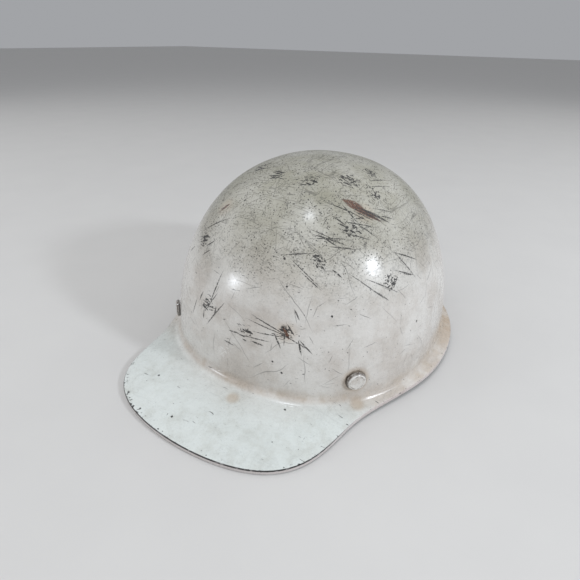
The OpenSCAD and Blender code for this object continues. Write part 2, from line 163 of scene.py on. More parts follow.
class Finish:
    """A material's node tree, built with short calls. Lengths inside it are millimetres."""

    def __init__(self, name, roughness=0.5, metallic=0.0, coat=0.0, coat_roughness=0.1, sheen=0.0):
        self.material = bpy.data.materials.new(name)
        self.material.use_nodes = True
        self.tree = self.material.node_tree
        self.tree.nodes.clear()
        output = self.node("ShaderNodeOutputMaterial")
        self.shader = self.node("ShaderNodeBsdfPrincipled")
        self.tree.links.new(self.shader.outputs["BSDF"], output.inputs["Surface"])
        self.shader.inputs["Roughness"].default_value = roughness
        self.shader.inputs["Metallic"].default_value = metallic
        self.shader.inputs["Coat Weight"].default_value = coat
        self.shader.inputs["Coat Roughness"].default_value = coat_roughness
        self.shader.inputs["Sheen Weight"].default_value = sheen
        self.place = self.node("ShaderNodeTexCoord").outputs["Object"]
        self.mm = self.vector("SCALE", self.place, scale=1000.0)

    def node(self, kind, **settings):
        made = self.tree.nodes.new(kind)
        for key, value in settings.items():
            setattr(made, key, value)
        return made

    def feed(self, socket, value):
        if isinstance(value, bpy.types.NodeSocket):
            self.tree.links.new(value, socket)
        elif value is not None:
            socket.default_value = value

    def math(self, operation, a, b=None, c=None, clamp=False):
        made = self.node("ShaderNodeMath", operation=operation, use_clamp=clamp)
        for socket, value in zip(made.inputs, (a, b, c)):
            self.feed(socket, value)
        return made.outputs[0]

    def times(self, a, b):
        return self.math("MULTIPLY", a, b)

    def plus(self, a, b, clamp=False):
        return self.math("ADD", a, b, clamp=clamp)

    def minus(self, a, b):
        return self.math("SUBTRACT", a, b)

    def most(self, a, b):
        return self.math("MAXIMUM", a, b)

    def vector(self, operation, a, b=None, scale=None):
        made = self.node("ShaderNodeVectorMath", operation=operation)
        self.feed(made.inputs[0], a)
        self.feed(made.inputs[1], b)
        if scale is not None:
            self.feed(made.inputs["Scale"], scale)
        return made.outputs["Value" if operation in ("DOT_PRODUCT", "DISTANCE", "LENGTH") else "Vector"]

    def split(self, vector):
        return self.feed_into("ShaderNodeSeparateXYZ", vector).outputs

    def feed_into(self, kind, value):
        made = self.node(kind)
        self.feed(made.inputs[0], value)
        return made

    def blur(self, value, low, high, out_low=0.0, out_high=1.0):
        """Smooth step of a value from low to high."""
        made = self.node("ShaderNodeMapRange", interpolation_type="SMOOTHSTEP")
        for socket, number in zip(made.inputs, (value, low, high, out_low, out_high)):
            self.feed(socket, number)
        return made.outputs["Result"]

    def stretch(self, vector, size=(1, 1, 1), turn=(0, 0, 0), shift=(0, 0, 0)):
        made = self.node("ShaderNodeMapping")
        self.feed(made.inputs["Vector"], vector)
        made.inputs["Location"].default_value = shift
        made.inputs["Rotation"].default_value = [math.radians(t) for t in turn]
        made.inputs["Scale"].default_value = size
        return made.outputs["Vector"]

    def noise(self, vector, size, detail=2.0, rough=0.5, colour=False):
        """Noise whose blobs are about size millimetres across."""
        made = self.node("ShaderNodeTexNoise")
        self.feed(made.inputs["Vector"], vector)
        made.inputs["Scale"].default_value = 1.0 / size
        made.inputs["Detail"].default_value = detail
        made.inputs["Roughness"].default_value = rough
        return made.outputs["Color" if colour else "Fac"]

    def cells(self, vector, size, feature="F1"):
        made = self.node("ShaderNodeTexVoronoi", feature=feature)
        self.feed(made.inputs["Vector"], vector)
        made.inputs["Scale"].default_value = 1.0 / size
        return made.outputs

    def mix(self, amount, a, b, blend="MIX"):
        made = self.node("ShaderNodeMix", data_type="RGBA", blend_type=blend)
        self.feed(made.inputs[0], amount)
        for socket, value in ((made.inputs[6], a), (made.inputs[7], b)):
            if not isinstance(value, bpy.types.NodeSocket):
                value = (*value, 1.0)
            self.feed(socket, value)
        return made.outputs[2]

    def attribute(self, name):
        return self.node("ShaderNodeAttribute", attribute_name=name).outputs["Fac"]

    def bump(self, height, depth, below=None):
        """Bump of a height given in 0 to 1, depth in millimetres at 1."""
        made = self.node("ShaderNodeBump")
        made.inputs["Strength"].default_value = 1.0
        made.inputs["Distance"].default_value = depth * MM
        self.feed(made.inputs["Height"], height)
        if below is not None:
            self.feed(made.inputs["Normal"], below)
        return made.outputs["Normal"]

    def group(self, tree):
        made = self.node("ShaderNodeGroup")
        made.node_tree = tree
        return made

    def out(self, colour=None, roughness=None, normal=None, metallic=None):
        for name, value in (("Base Color", colour), ("Roughness", roughness), ("Normal", normal),
                            ("Metallic", metallic)):
            if value is not None:
                self.feed(self.shader.inputs[name], value if isinstance(value, (bpy.types.NodeSocket, float))
                          else (*value, 1.0))
        return self.material


def group_tree(name, inputs):
    """A node group with the named inputs and one Mask output, and a Finish-like helper to fill it."""
    tree = bpy.data.node_groups.new(name, "ShaderNodeTree")
    for label, kind in inputs:
        tree.interface.new_socket(label, in_out="INPUT", socket_type=kind)
    tree.interface.new_socket("Mask", in_out="OUTPUT", socket_type="NodeSocketFloat")
    helper = Finish.__new__(Finish)
    helper.tree = tree
    source = helper.node("NodeGroupInput").outputs
    return tree, helper, source


def close_group(helper, mask):
    target = helper.node("NodeGroupOutput")
    helper.tree.links.new(mask, target.inputs["Mask"])


def score_group():
    """One score in the paint: a thin lens-shaped mark about a centre, crossed by the Across direction."""
    tree, h, source = group_tree("score", [
        ("Vector", "NodeSocketVector"), ("Centre", "NodeSocketVector"), ("Across", "NodeSocketVector"),
        ("Half length", "NodeSocketFloat"), ("Half width", "NodeSocketFloat")])
    offset = h.vector("SUBTRACT", source["Vector"], source["Centre"])
    reach = h.math("DIVIDE", h.vector("LENGTH", offset), source["Half length"])
    aside = h.math("ABSOLUTE", h.vector("DOT_PRODUCT", offset, source["Across"]))
    taper = h.minus(1.0, h.times(reach, reach))
    room = h.minus(taper, h.math("DIVIDE", aside, source["Half width"]))
    close_group(h, h.blur(room, 0.0, 0.5))
    return tree


def scatter_group():
    """Scattered straight scratches: one at random in each cell, in the plane of the surface."""
    tree, h, source = group_tree("scatter", [
        ("Vector", "NodeSocketVector"), ("Cell", "NodeSocketFloat"), ("Length", "NodeSocketFloat"),
        ("Width", "NodeSocketFloat"), ("Share", "NodeSocketFloat")])
    voronoi = h.node("ShaderNodeTexVoronoi")
    h.feed(voronoi.inputs["Vector"], source["Vector"])
    h.feed(voronoi.inputs["Scale"], h.math("DIVIDE", 1.0, source["Cell"]))
    offset = h.vector("SUBTRACT", source["Vector"], voronoi.outputs["Position"])
    any_way = h.vector("SUBTRACT", voronoi.outputs["Color"], (0.5, 0.5, 0.5))
    outward_way = h.node("ShaderNodeNewGeometry").outputs["Normal"]
    across = h.vector("NORMALIZE", h.vector("CROSS_PRODUCT", outward_way, any_way))
    along = h.vector("CROSS_PRODUCT", outward_way, across)
    reach = h.math("DIVIDE", h.vector("DOT_PRODUCT", offset, along), source["Length"])
    taper = h.minus(1.0, h.times(reach, reach))
    aside = h.math("ABSOLUTE", h.vector("DOT_PRODUCT", offset, across))
    room = h.minus(taper, h.math("DIVIDE", aside, source["Width"]))
    chance = h.feed_into("ShaderNodeSeparateXYZ", voronoi.outputs["Color"]).outputs[0]
    picked = h.math("LESS_THAN", chance, source["Share"])
    close_group(h, h.times(h.blur(room, 0.0, 0.6), picked))
    return tree


# ---------- The shell's shape ----------

class ShellLaw:
    """Upper surface of the shell in millimetres: azimuth is measured from the front to the wearer's left."""

    def __init__(self, sizes):
        self.height = SHELL_HIGH.z / MM
        self.half_width = sizes.dome_half_width / MM
        self.front = sizes.dome_front / MM
        self.back = sizes.dome_back / MM
        self.side_power = 2.3
        self.plan_power = 2.2
        self.draft = 0.009
        self.lean = 3.6
        self.wall = sizes.wall_thickness / MM
        self.rim = sizes.rim_thickness / MM
        self.visor = 58.0
        self.visor_spread = 34.0
        self.visor_corner = 5.2
        self.rim_width = 9.5
        self.waist = 4.0
        self.arch = 3.0
        self.rest_sine = math.sin(math.radians(20))
        self.slope = math.tan(math.radians(4))
        self.fillet = 7.0

    def plan(self, a):
        half = self.front if math.cos(a) > 0 else self.back
        across = (abs(math.sin(a)) / self.half_width) ** self.plan_power
        along = (abs(math.cos(a)) / half) ** self.plan_power
        return (across + along) ** (-1 / self.plan_power)

    def scale(self, z):
        round_part = (1 - min(1, z / self.height) ** self.side_power) ** (1 / self.side_power)
        return round_part * (1 + self.draft * (1 - z / self.height))

    def ledge(self, a):
        """Width of the rim or visor beyond the dome."""
        turn = abs(math.degrees(math.atan2(math.sin(a), math.cos(a))))
        side = self.rim_width - self.waist * math.exp(-((turn - 60) / 20) ** 2)
        return side + (self.visor - self.rim_width) / (1 + math.exp((turn - self.visor_spread)
                                                                    / self.visor_corner))

    def edge_height(self, a):
        lift = max(0.0, (abs(math.sin(a)) - self.rest_sine) / (1 - self.rest_sine))
        return self.rim + self.arch * lift ** 1.5

    def spot(self, a, radius, z):
        """A place in metres."""
        return Vector((radius * math.sin(a), self.lean * z / self.height - radius * math.cos(a), z)) * MM

    def line(self, a, dome=44, fillet=10, ledge=12):
        """Upper profile from the crown to the edge: (radius, height, thickness)."""
        fold = self.edge_height(a) + self.ledge(a) * self.slope
        fillet_radius = min(self.fillet, self.ledge(a) - 1.6)
        top = fold + fillet_radius
        low = math.asin((top / self.height) ** (self.side_power / 2))
        points = []
        for i in range(dome):
            t = math.radians(89.2) + (low - math.radians(89.2)) * i / (dome - 1)
            z = self.height * math.sin(t) ** (2 / self.side_power)
            points.append((self.plan(a) * self.scale(z), z, self.wall))
        centre = points[-1][0] + fillet_radius
        for i in range(1, fillet + 1):
            t = math.pi / 2 * i / fillet
            thick = self.wall + (self.rim - self.wall) * i / fillet
            points.append((centre - fillet_radius * math.cos(t), top - fillet_radius * math.sin(t), thick))
        edge = self.plan(a) * self.scale(0) + self.ledge(a)
        inner, height = points[-1][0], points[-1][1]
        for i in range(1, ledge + 1):
            share = i / ledge
            points.append((inner + (edge - EDGE_ROUND - inner) * share,
                           height + (self.edge_height(a) - height) * share, self.rim))
        return points, edge

    def loop(self, a):
        """The whole section: (radius, height, distance from the upper corner, 1 inside)."""
        upper, edge = self.line(a)
        height = self.edge_height(a)
        section = [(r, z, edge - r + max(0, z - height), 0.0) for r, z, t in upper]
        for i in range(1, 5):
            t = math.pi / 2 * i / 4
            section.append((edge - EDGE_ROUND * (1 - math.sin(t)), height - EDGE_ROUND * (1 - math.cos(t)),
                            -0.2 * i, 0.0))
        low = height - self.rim
        section.append((edge, height - self.rim / 2, -self.rim / 2, 0.0))
        for i in range(5):
            t = math.pi / 2 * i / 4
            section.append((edge - EDGE_ROUND * (1 - math.cos(t)), low + EDGE_ROUND * (1 - math.sin(t)),
                            -self.rim + 0.5, 0.3 + 0.1 * i))
        section.append((edge - EDGE_ROUND - 3, low, -self.rim - 3, 1.0))
        for i in range(len(upper) - 3, -1, -1):
            r, z, thick = upper[i]
            before, after = upper[max(i - 1, 0)], upper[i + 1]
            way = Vector((after[0] - before[0], after[1] - before[1])).normalized()
            section.append((max(r + thick * way.y, 0.3), z - thick * way.x, -60.0, 1.0))
        return section

    def outer_point(self, azimuth, z):
        """A place on the dome and its outward normal, in millimetres, for an azimuth in degrees."""
        a = math.radians(azimuth)
        spot = self.spot(a, self.plan(a) * self.scale(z), z) / MM
        step = 0.5
        side = self.spot(a + 0.01, self.plan(a + 0.01) * self.scale(z), z) / MM - spot
        up = self.spot(a, self.plan(a) * self.scale(z + step), z + step) / MM - spot
        return spot, side.normalized(), side.cross(up).normalized()


EDGE_ROUND = 0.6
STATIONS = 240


def build_shell(law):
    """The shell: a crown ring extruded down the dome, round the edge and back up inside."""
    piece = start(bpy.ops.mesh.primitive_circle_add, "shell_body", vertices=STATIONS, radius=1.0,
                  fill_type="NOTHING")
    edit(piece)
    mesh = cage(piece)
    for name in ("corner_mm", "inside", "turn"):
        mesh.verts.layers.float.new(name)
    turn = mesh.verts.layers.float["turn"]
    for vert in mesh.verts:
        vert[turn] = math.atan2(vert.co.x, -vert.co.y)
    bmesh.update_edit_mesh(piece.data)
    sections = {}
    for count in range(len(law.loop(0.0))):
        if count == 0:
            bpy.ops.mesh.select_all(action="SELECT")
        else:
            bpy.ops.mesh.extrude_edges_move()
        mesh = cage(piece)
        corner = mesh.verts.layers.float["corner_mm"]
        inside = mesh.verts.layers.float["inside"]
        turn = mesh.verts.layers.float["turn"]
        for vert in mesh.verts:
            if vert.select:
                key = round(vert[turn], 4)
                if key not in sections:
                    sections[key] = law.loop(vert[turn])
                radius, z, vert[corner], vert[inside] = sections[key][count]
                vert.co = law.spot(vert[turn], radius, z)
        bmesh.update_edit_mesh(piece.data)
    bpy.ops.mesh.extrude_edges_move()
    bpy.ops.mesh.merge(type="CENTER")
    bpy.ops.mesh.select_all(action="DESELECT")
    bpy.ops.mesh.select_non_manifold()
    bpy.ops.mesh.extrude_edges_move()
    bpy.ops.mesh.merge(type="CENTER")
    mesh = cage(piece)
    for vert in mesh.verts:
        if vert.select:
            vert.co.z = law.height * MM
    bmesh.update_edit_mesh(piece.data)
    bpy.ops.mesh.select_all(action="SELECT")
    bpy.ops.mesh.normals_make_consistent(inside=False)
    leave_edit()
    smooth(piece, 60)
    return piece


def rivet_sites(law):
    """Each rivet's place on the wall and the turn of its axis about Z, taken from the frame's rivets."""
    z = (RIVET_LOW.z + RIVET_HIGH.z) / 2 / MM
    sites = []
    for azimuth in (44.5, -44.5, 135.5, -135.5):
        spot, side, normal = law.outer_point(azimuth, z)
        sites.append((Vector((spot.x, spot.y, z)), math.atan2(normal.y, normal.x)))
    return sites


def build_rivets(law):
    """Button heads shaped from a disc, with their shanks and bucked tails."""
    radius = 6.75 * MM
    low, high = 0.45 * MM, 2.45 * MM
    tail = -7.9 * MM
    rivets = []
    for place, turn in rivet_sites(law):
        piece = start(bpy.ops.mesh.primitive_cylinder_add, "rivet", vertices=64, radius=radius,
                      depth=high - 0.5 * MM - low, location=(0, 0, (low + high - 0.5 * MM) / 2))
        edit(piece, "FACE")
        settle_in = Matrix.Rotation(turn, 4, "Z") @ Matrix.Rotation(math.pi / 2, 4, "Y")
        mesh = cage(piece)
        bmesh.ops.translate(mesh, verts=mesh.verts, vec=piece.location)
        bmesh.update_edit_mesh(piece.data)
        piece.location = (0, 0, 0)
        for inset, rise in ((0.3, 0.2), (0.35, 0.55), (0.3, 0.25), (0.35, 0.12), (0.6, 0.0), (0.5, -0.1),
                            (2.2, 0.12)):
            pick_faces(piece, lambda c, n: n.z > 0.9 and c.xy.length < 0.1 * MM)
            bpy.ops.mesh.inset(thickness=inset * MM, depth=0)
            bpy.ops.transform.translate(value=(0, 0, rise * MM))
        pick_faces(piece, lambda c, n: n.z < -0.9)
        bpy.ops.mesh.inset(thickness=0.35 * MM, depth=0)
        bpy.ops.mesh.inset(thickness=radius - 0.35 * MM - 2.3 * MM, depth=0)
        bpy.ops.mesh.extrude_region_move(TRANSFORM_OT_translate={"value": (0, 0, -6.4 * MM - low)})
        bpy.ops.mesh.extrude_region_move(TRANSFORM_OT_translate={"value": (0, 0, 0)})
        bpy.ops.transform.resize(value=(1.74, 1.74, 1))
        bpy.ops.mesh.extrude_region_move(TRANSFORM_OT_translate={"value": (0, 0, tail + 6.9 * MM)})
        bpy.ops.mesh.extrude_region_move(TRANSFORM_OT_translate={"value": (0, 0, -0.5 * MM)})
        bpy.ops.transform.resize(value=(0.8, 0.8, 1))
        mesh = cage(piece)
        reach = mesh.verts.layers.float.new("reach_mm")
        for vert in mesh.verts:
            vert[reach] = vert.co.xy.length / MM + (3 if vert.co.z < low * 0.9 else 0)
        bmesh.update_edit_mesh(piece.data)
        leave_edit()
        piece.matrix_world = Matrix.Translation(place * MM) @ settle_in
        settle(piece)
        outward(piece)
        rivets.append(piece)
    whole = join(rivets, "rivet_heads")
    smooth(whole, 40)
    return whole


def refined(node, width, name):
    """A copy of a CAD node with its doubles merged, flat faces joined and hard edges rounded."""
    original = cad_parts[node]
    piece = original.copy()
    piece.data = original.data.copy()
    piece.name = name
    piece.data.name = name
    for key in list(piece.keys()):
        del piece[key]
    piece.parent = None
    piece.matrix_world = Matrix.Identity(4)
    bpy.context.scene.collection.objects.link(piece)
    edit(piece, "FACE")
    bpy.ops.mesh.select_all(action="SELECT")
    bpy.ops.mesh.remove_doubles(threshold=2e-6)
    bpy.ops.mesh.dissolve_limited(angle_limit=math.radians(0.6))
    bpy.ops.mesh.normals_make_consistent(inside=False)
    leave_edit()
    bevel = piece.modifiers.new("edges", "BEVEL")
    bevel.width = width
    bevel.segments = 2
    bevel.limit_method = "ANGLE"
    bevel.angle_limit = math.radians(32)
    bevel.use_clamp_overlap = True
    finish_modifiers(piece)
    smooth(piece, 32)
    return piece


# ---------- Finishes ----------

# Where wear gathers: azimuth, level as a share of the shell's height, reach in degrees, tilt, scores
WEAR = (
    (-30, 0.65, 10, 45, 5), (-15, 0.4, 8, 75, 7), (5, 0.35, 10, -15, 6), (20, 0.4, 8, -60, 8),
    (30, 0.7, 10, -30, 9), (45, 0.8, 8, -45, 7), (60, 0.6, 12, -45, 7), (70, 0.9, 20, -15, 5),
    (140, 0.7, 25, -20, 4), (-90, 0.75, 30, 30, 3), (-160, 0.7, 25, 20, 2))
# Gouges down to the resin: azimuth, level, length, tilt, width
GOUGES = ((50, 0.88, 20, -40, 8), (55, 0.85, 30, -40, 5), (-30, 0.8, 10, 60, 4), (20, 0.4, 12, -60, 3),
          (-160, 0.75, 24, 35, 3))
# Dark furrows that run beside the main gouge, each shorter and thinner than the last
FURROWS = tuple((60 - 3 * k, 0.84, 30 - 5 * k, -40, 3 / (1 + k)) for k in range(4))
# Black scuffs crowd in the eight worn places at the front and in a ring near the top: azimuth, level, radius
SCUFFS = (tuple((azimuth, level, 9) for azimuth, level, reach, tilt, count in WEAR[:8])
          + tuple((azimuth, 0.95, 11) for azimuth in range(-50, 125, 35)))
# Stains on the rim, on the back and round the gouges: azimuth, level, radius, strength
STAINS = (((5, 0.05, 6, 0.8), (45, 0.05, 6, 0.8), (160, 0.3, 22, 0.5), (-120, 0.2, 20, 0.5))
          + tuple((azimuth, level, 9, 0.5) for azimuth, level, length, tilt, width in GOUGES[1:]))


def draw_scores():
    """Scores at random about the places where wear gathers. The short ones are broader."""
    draw = random.Random(11)
    scores = []
    for azimuth, level, reach, tilt, count in WEAR:
        for _ in range(count):
            length = draw.uniform(8, 36)
            height = min(level + draw.uniform(-0.09, 0.09), 0.97)
            width = draw.uniform(0.7, 1.2) + 6 / length
            scores.append((azimuth + draw.uniform(-reach, reach), height, length, tilt + draw.gauss(0, 18),
                           width))
    return scores


def mark_sites(law, marks):
    for azimuth, level, length, tilt, width in marks:
        spot, side, normal = law.outer_point(azimuth, level * law.height)
        upward = normal.cross(side)
        along = side * math.cos(math.radians(tilt)) + upward * math.sin(math.radians(tilt))
        yield spot, normal.cross(along), length / 2, width / 2


def marks_mask(f, law, tree, vector, marks):
    mask = None
    for centre, across, half_length, half_width in mark_sites(law, marks):
        mark = f.group(tree)
        f.feed(mark.inputs["Vector"], vector)
        mark.inputs["Centre"].default_value = centre
        mark.inputs["Across"].default_value = across
        mark.inputs["Half length"].default_value = half_length
        mark.inputs["Half width"].default_value = half_width
        mask = mark.outputs[0] if mask is None else f.most(mask, mark.outputs[0])
    return mask


def dot_mask(f, vector, cell, radius, share):
    """Round specks of random size, one in some of the cells."""
    dots = f.cells(vector, cell)
    draw = f.split(dots["Color"])
    room = f.minus(f.times(draw[1], radius), f.vector("DISTANCE", vector, dots["Position"]))
    return f.times(f.blur(room, -0.05, 0.12), f.math("LESS_THAN", draw[0], share))


def scatter_mask(f, tree, vector, cell, length, width, share):
    made = f.group(tree)
    f.feed(made.inputs["Vector"], vector)
    for name, value in (("Cell", cell), ("Length", length), ("Width", width), ("Share", share)):
        made.inputs[name].default_value = value
    return made.outputs[0]


def shell_finish(law, look):
    """Aged white paint over a dark moulded shell: scratched, scuffed, chipped along the rim."""
    f = Finish("shell_paint", roughness=0.3, coat=0.45, coat_roughness=0.2)
    score, scatter = score_group(), scatter_group()
    x, y, z = f.split(f.mm)
    corner = f.attribute("corner_mm")
    inside = f.attribute("inside")
    wander = f.vector("SCALE", f.vector("SUBTRACT", f.noise(f.mm, 2.2, 3, 0.6, colour=True),
                                        (0.5, 0.5, 0.5)), scale=1.1)
    rough_mm = f.vector("ADD", f.mm, wander)
    sway = f.vector("SCALE", f.vector("SUBTRACT", f.noise(f.mm, 26, 2, 0.5, colour=True), (0.5, 0.5, 0.5)),
                    scale=9.0)
    bent_mm = f.vector("ADD", f.mm, sway)

    crown = f.blur(z, 62.0, 132.0)
    visor = f.times(f.blur(z, 10.5, 5.0), f.blur(y, -60.0, -112.0))
    rear = f.times(f.blur(z, 44.0, 10.0), f.blur(y, -10.0, 60.0))
    cloud = f.noise(f.mm, 34, 4, 0.6)
    blotch = f.noise(f.mm, 11, 5, 0.65)
    fine = f.noise(f.mm, 1.3, 4, 0.7)

    white = f.mix(f.blur(cloud, 0.38, 0.66), look.paint[:3], look.paint_warm[:3])
    white = f.mix(f.times(visor, 0.95), white,
                  f.mix(f.blur(blotch, 0.4, 0.7), look.visor_paint[:3], look.visor_shade[:3]))
    white = f.mix(f.times(f.blur(blotch, 0.5, 0.72), f.blur(visor, 0.2, 0.9, 0.24, 0.05)), white,
                  look.grime[:3])
    white = f.mix(f.times(crown, f.blur(cloud, 0.3, 0.62, 0.6, 0.95)), white, look.crown_dirt[:3])
    white = f.mix(f.times(rear, f.blur(cloud, 0.34, 0.6, 0.3, 0.85)), white, look.tan_stain[:3])
    rim_tan = f.times(f.blur(f.math("ABSOLUTE", f.minus(z, 9.0)), 9.0, 1.5),
                      f.blur(blotch, 0.36, 0.7, 0.12, 0.42))
    rim_tan = f.times(rim_tan, f.blur(visor, 0.5, 0.0))
    white = f.mix(rim_tan, white, look.tan_stain[:3])

    stains, grime_and_shadow_ring = None, None
    for azimuth, level, size, strength in STAINS:
        spot, side, normal = law.outer_point(azimuth, level * law.height)
        if level < 0.1:
            spot = spot + Vector((normal.x, normal.y, 0)) * (12 if azimuth < 20 else 4)
        ring = f.blur(f.vector("DISTANCE", rough_mm, tuple(spot)), size * 1.1, size * 0.4, 0.0, strength)
        stains = ring if stains is None else f.most(stains, ring)
    for place, turn in rivet_sites(law):
        away = f.vector("DISTANCE", rough_mm, tuple(place))
        stains = f.most(stains, f.blur(away, 11.5, 7.0, 0.0, 0.8))
        # Painted shadow and dirt: a dark ring just outside each rivet head, where the gap under the head
        # lies in shade
        ring = f.blur(away, 7.9, 6.9)
        grime_and_shadow_ring = ring if grime_and_shadow_ring is None else f.most(grime_and_shadow_ring, ring)
    white = f.mix(f.times(stains, 0.6), white, look.tan_stain[:3])
    white = f.mix(f.times(grime_and_shadow_ring, f.blur(blotch, 0.36, 0.56, 0.45, 0.9)), white, look.fibre_and_shade[:3])

    side_face = f.times(f.blur(corner, 0.2, -0.9), f.blur(corner, -3.4, -2.6))
    white = f.mix(f.times(side_face, 0.75), white, look.rim_side[:3])

    # Dirt in the pores of the paint, thickest on the crown
    dirt_patch = f.blur(f.noise(f.mm, 19, 4, 0.65), 0.3, 0.54)
    dirty = f.times(dirt_patch, f.blur(f.plus(crown, f.times(cloud, 0.5)), 0.2, 0.8, 0.12, 1.0))
    pores = f.most(dot_mask(f, rough_mm, 1.2, 0.6, 0.6), dot_mask(f, rough_mm, 2.8, 0.7, 0.35))
    pores = f.times(pores, dirty)
    white = f.mix(f.times(dirty, f.blur(fine, 0.47, 0.64, 0.0, 0.5)), white, look.grime_dark[:3])
    hairs = None
    for size, turn in (((0.07, 1, 1), (15, 0, 40)), ((1, 0.07, 1), (0, 20, -35)),
                       ((0.09, 1, 0.5), (0, 40, 10)),
                       ((0.5, 0.08, 1), (35, 10, 60))):
        lines = f.noise(f.stretch(bent_mm, size, turn), 3.2, 0, 0.5)
        line = f.blur(f.math("ABSOLUTE", f.minus(lines, 0.5)), 0.03, 0.01)
        kept = f.blur(f.noise(f.stretch(f.mm, size, turn, (40.0 * len(size), turn[1], turn[2])), 7, 2, 0.5),
                      0.5, 0.62)
        line = f.times(line, kept)
        hairs = line if hairs is None else f.most(hairs, line)
    hairs = f.times(hairs, f.blur(f.plus(crown, f.times(cloud, 0.6)), 0.15, 1.0, 0.1, 0.9))

    scuff = None
    for azimuth, level, size in SCUFFS:
        spot, side, normal = law.outer_point(azimuth, level * law.height)
        near = f.blur(f.vector("DISTANCE", bent_mm, tuple(spot)), size, size * 0.3)
        scuff = near if scuff is None else f.most(scuff, near)
    strokes = f.noise(f.stretch(bent_mm, (0.13, 1, 1), (0, -25, 28)), 1.3, 2, 0.5)
    cross = f.noise(f.stretch(bent_mm, (1, 0.2, 1), (10, 0, 15)), 1.2, 2, 0.5)
    limit = f.minus(0.70, f.times(scuff, 0.2))
    black = f.most(f.blur(f.minus(strokes, limit), 0.0, 0.05),
                   f.blur(f.minus(cross, f.plus(limit, 0.07)), 0.0, 0.05))

    upper = f.blur(z, 12.0, 30.0, 0.12, 1.0)
    long_ones = scatter_mask(f, scatter, bent_mm, 52.0, 23.0, 0.35, 0.75)
    mid_ones = scatter_mask(f, scatter, f.vector("ADD", bent_mm, (31.0, 7.0, 19.0)), 30.0, 13.0, 0.3, 0.7)
    short_ones = scatter_mask(f, scatter, f.vector("ADD", rough_mm, (11.0, 57.0, 3.0)), 15.0, 6.0, 0.3, 0.6)
    tiny_ones = scatter_mask(f, scatter, f.vector("ADD", rough_mm, (3.0, 17.0, 43.0)), 6.0, 2.4, 0.28, 0.6)
    light = f.most(f.times(long_ones, 0.55), f.times(mid_ones, 0.5))
    light = f.most(light, f.times(short_ones, 0.6))
    light = f.most(light, f.times(tiny_ones, f.blur(crown, 0.0, 1.0, 0.12, 0.8)))
    light = f.times(light, upper)
    scored = marks_mask(f, law, score, f.vector("ADD", f.mm, f.vector("SCALE", wander, scale=0.5)),
                        draw_scores())
    broken = f.blur(f.noise(f.mm, 1.1, 2, 0.6), 0.36, 0.5, 0.25, 1.0)
    scored = f.times(scored, broken)

    specks = dot_mask(f, rough_mm, 7.5, 1.0, 0.4)
    furrows = marks_mask(f, law, score, rough_mm, FURROWS)

    gouged = marks_mask(f, law, score, rough_mm, GOUGES)
    scrape = f.noise(f.stretch(f.mm, (0.25, 1, 1), (0, 38, -12)), 0.9, 2, 0.6)

    # Paint chipped off along the upper corner of the rim, most at the front of the visor
    front = f.blur(y, -80.0, -150.0)
    nibble = f.noise(f.mm, 3.2, 4, 0.7)
    nearside = f.times(front, f.blur(x, 20.0, -60.0, 0.3, 1.0))
    corner_line = f.times(f.blur(f.math("ABSOLUTE", f.plus(corner, 0.6)), 0.65, 0.35),
                         f.blur(f.plus(nibble, f.times(nearside, 0.16)), 0.36, 0.5, 0.4, 1.0))
    corner_line = f.times(corner_line, f.blur(y, -88.0, -132.0))
    chip_reach = f.times(f.blur(f.plus(nibble, f.times(nearside, 0.09)), 0.6, 0.78), 5.5)
    chips = f.times(f.blur(f.minus(chip_reach, corner), 0.0, 0.35), f.math("GREATER_THAN", corner, -1.2))
    chips = f.times(chips, f.blur(chip_reach, 0.2, 0.7))
    bare = f.most(corner_line, chips)

    dark = f.most(f.most(black, scored), f.most(specks, f.times(pores, 0.85)))
    dark = f.most(dark, f.times(hairs, 0.5))
    dark = f.most(dark, light)
    colour = f.mix(f.times(dark, 0.96), white, look.scratch[:3])
    rust = f.mix(f.blur(scrape, 0.5, 0.62), look.gouge[:3], look.dark_shell[:3])
    flecks = f.blur(f.noise(f.stretch(f.mm, (1, 1, 0.3), (0, -40, 20)), 0.8, 2, 0.6), 0.56, 0.64)
    rust = f.mix(f.times(flecks, 0.55), rust, white)
    colour = f.mix(gouged, colour, rust)
    colour = f.mix(f.times(furrows, f.blur(scrape, 0.34, 0.46, 0.35, 1.0)), colour, look.dark_shell[:3])
    colour = f.mix(bare, colour, look.dark_shell[:3])
    under = f.mix(f.blur(f.noise(f.stretch(f.mm, (1, 1, 0.2)), 1.6, 4, 0.7), 0.4, 0.65),
                  look.dark_shell[:3], look.fibre_and_shade[:3])
    spray = f.times(inside, f.blur(f.plus(f.times(corner, -1.0), f.times(blotch, 8.0)), 6.0, 10.0))
    unpainted = f.most(spray, f.blur(inside, 0.45, 0.62))
    colour = f.mix(unpainted, colour, under)

    cuts = f.times(f.most(bare, specks), f.minus(1.0, unpainted))
    normal = f.bump(f.noise(f.mm, 7.5, 3, 0.5), 0.09)
    normal = f.bump(f.noise(f.mm, 1.2, 2, 0.5), 0.012, normal)
    normal = f.bump(f.minus(1.0, cuts), 0.16, normal)
    gloss = f.blur(f.noise(f.mm, 5, 4, 0.7), 0.3, 0.7, 0.2, 0.36)
    gloss = f.plus(gloss, f.times(crown, 0.08))
    gloss = f.plus(gloss, f.times(f.most(dark, bare), 0.35), clamp=True)
    return f.out(colour, gloss, normal)


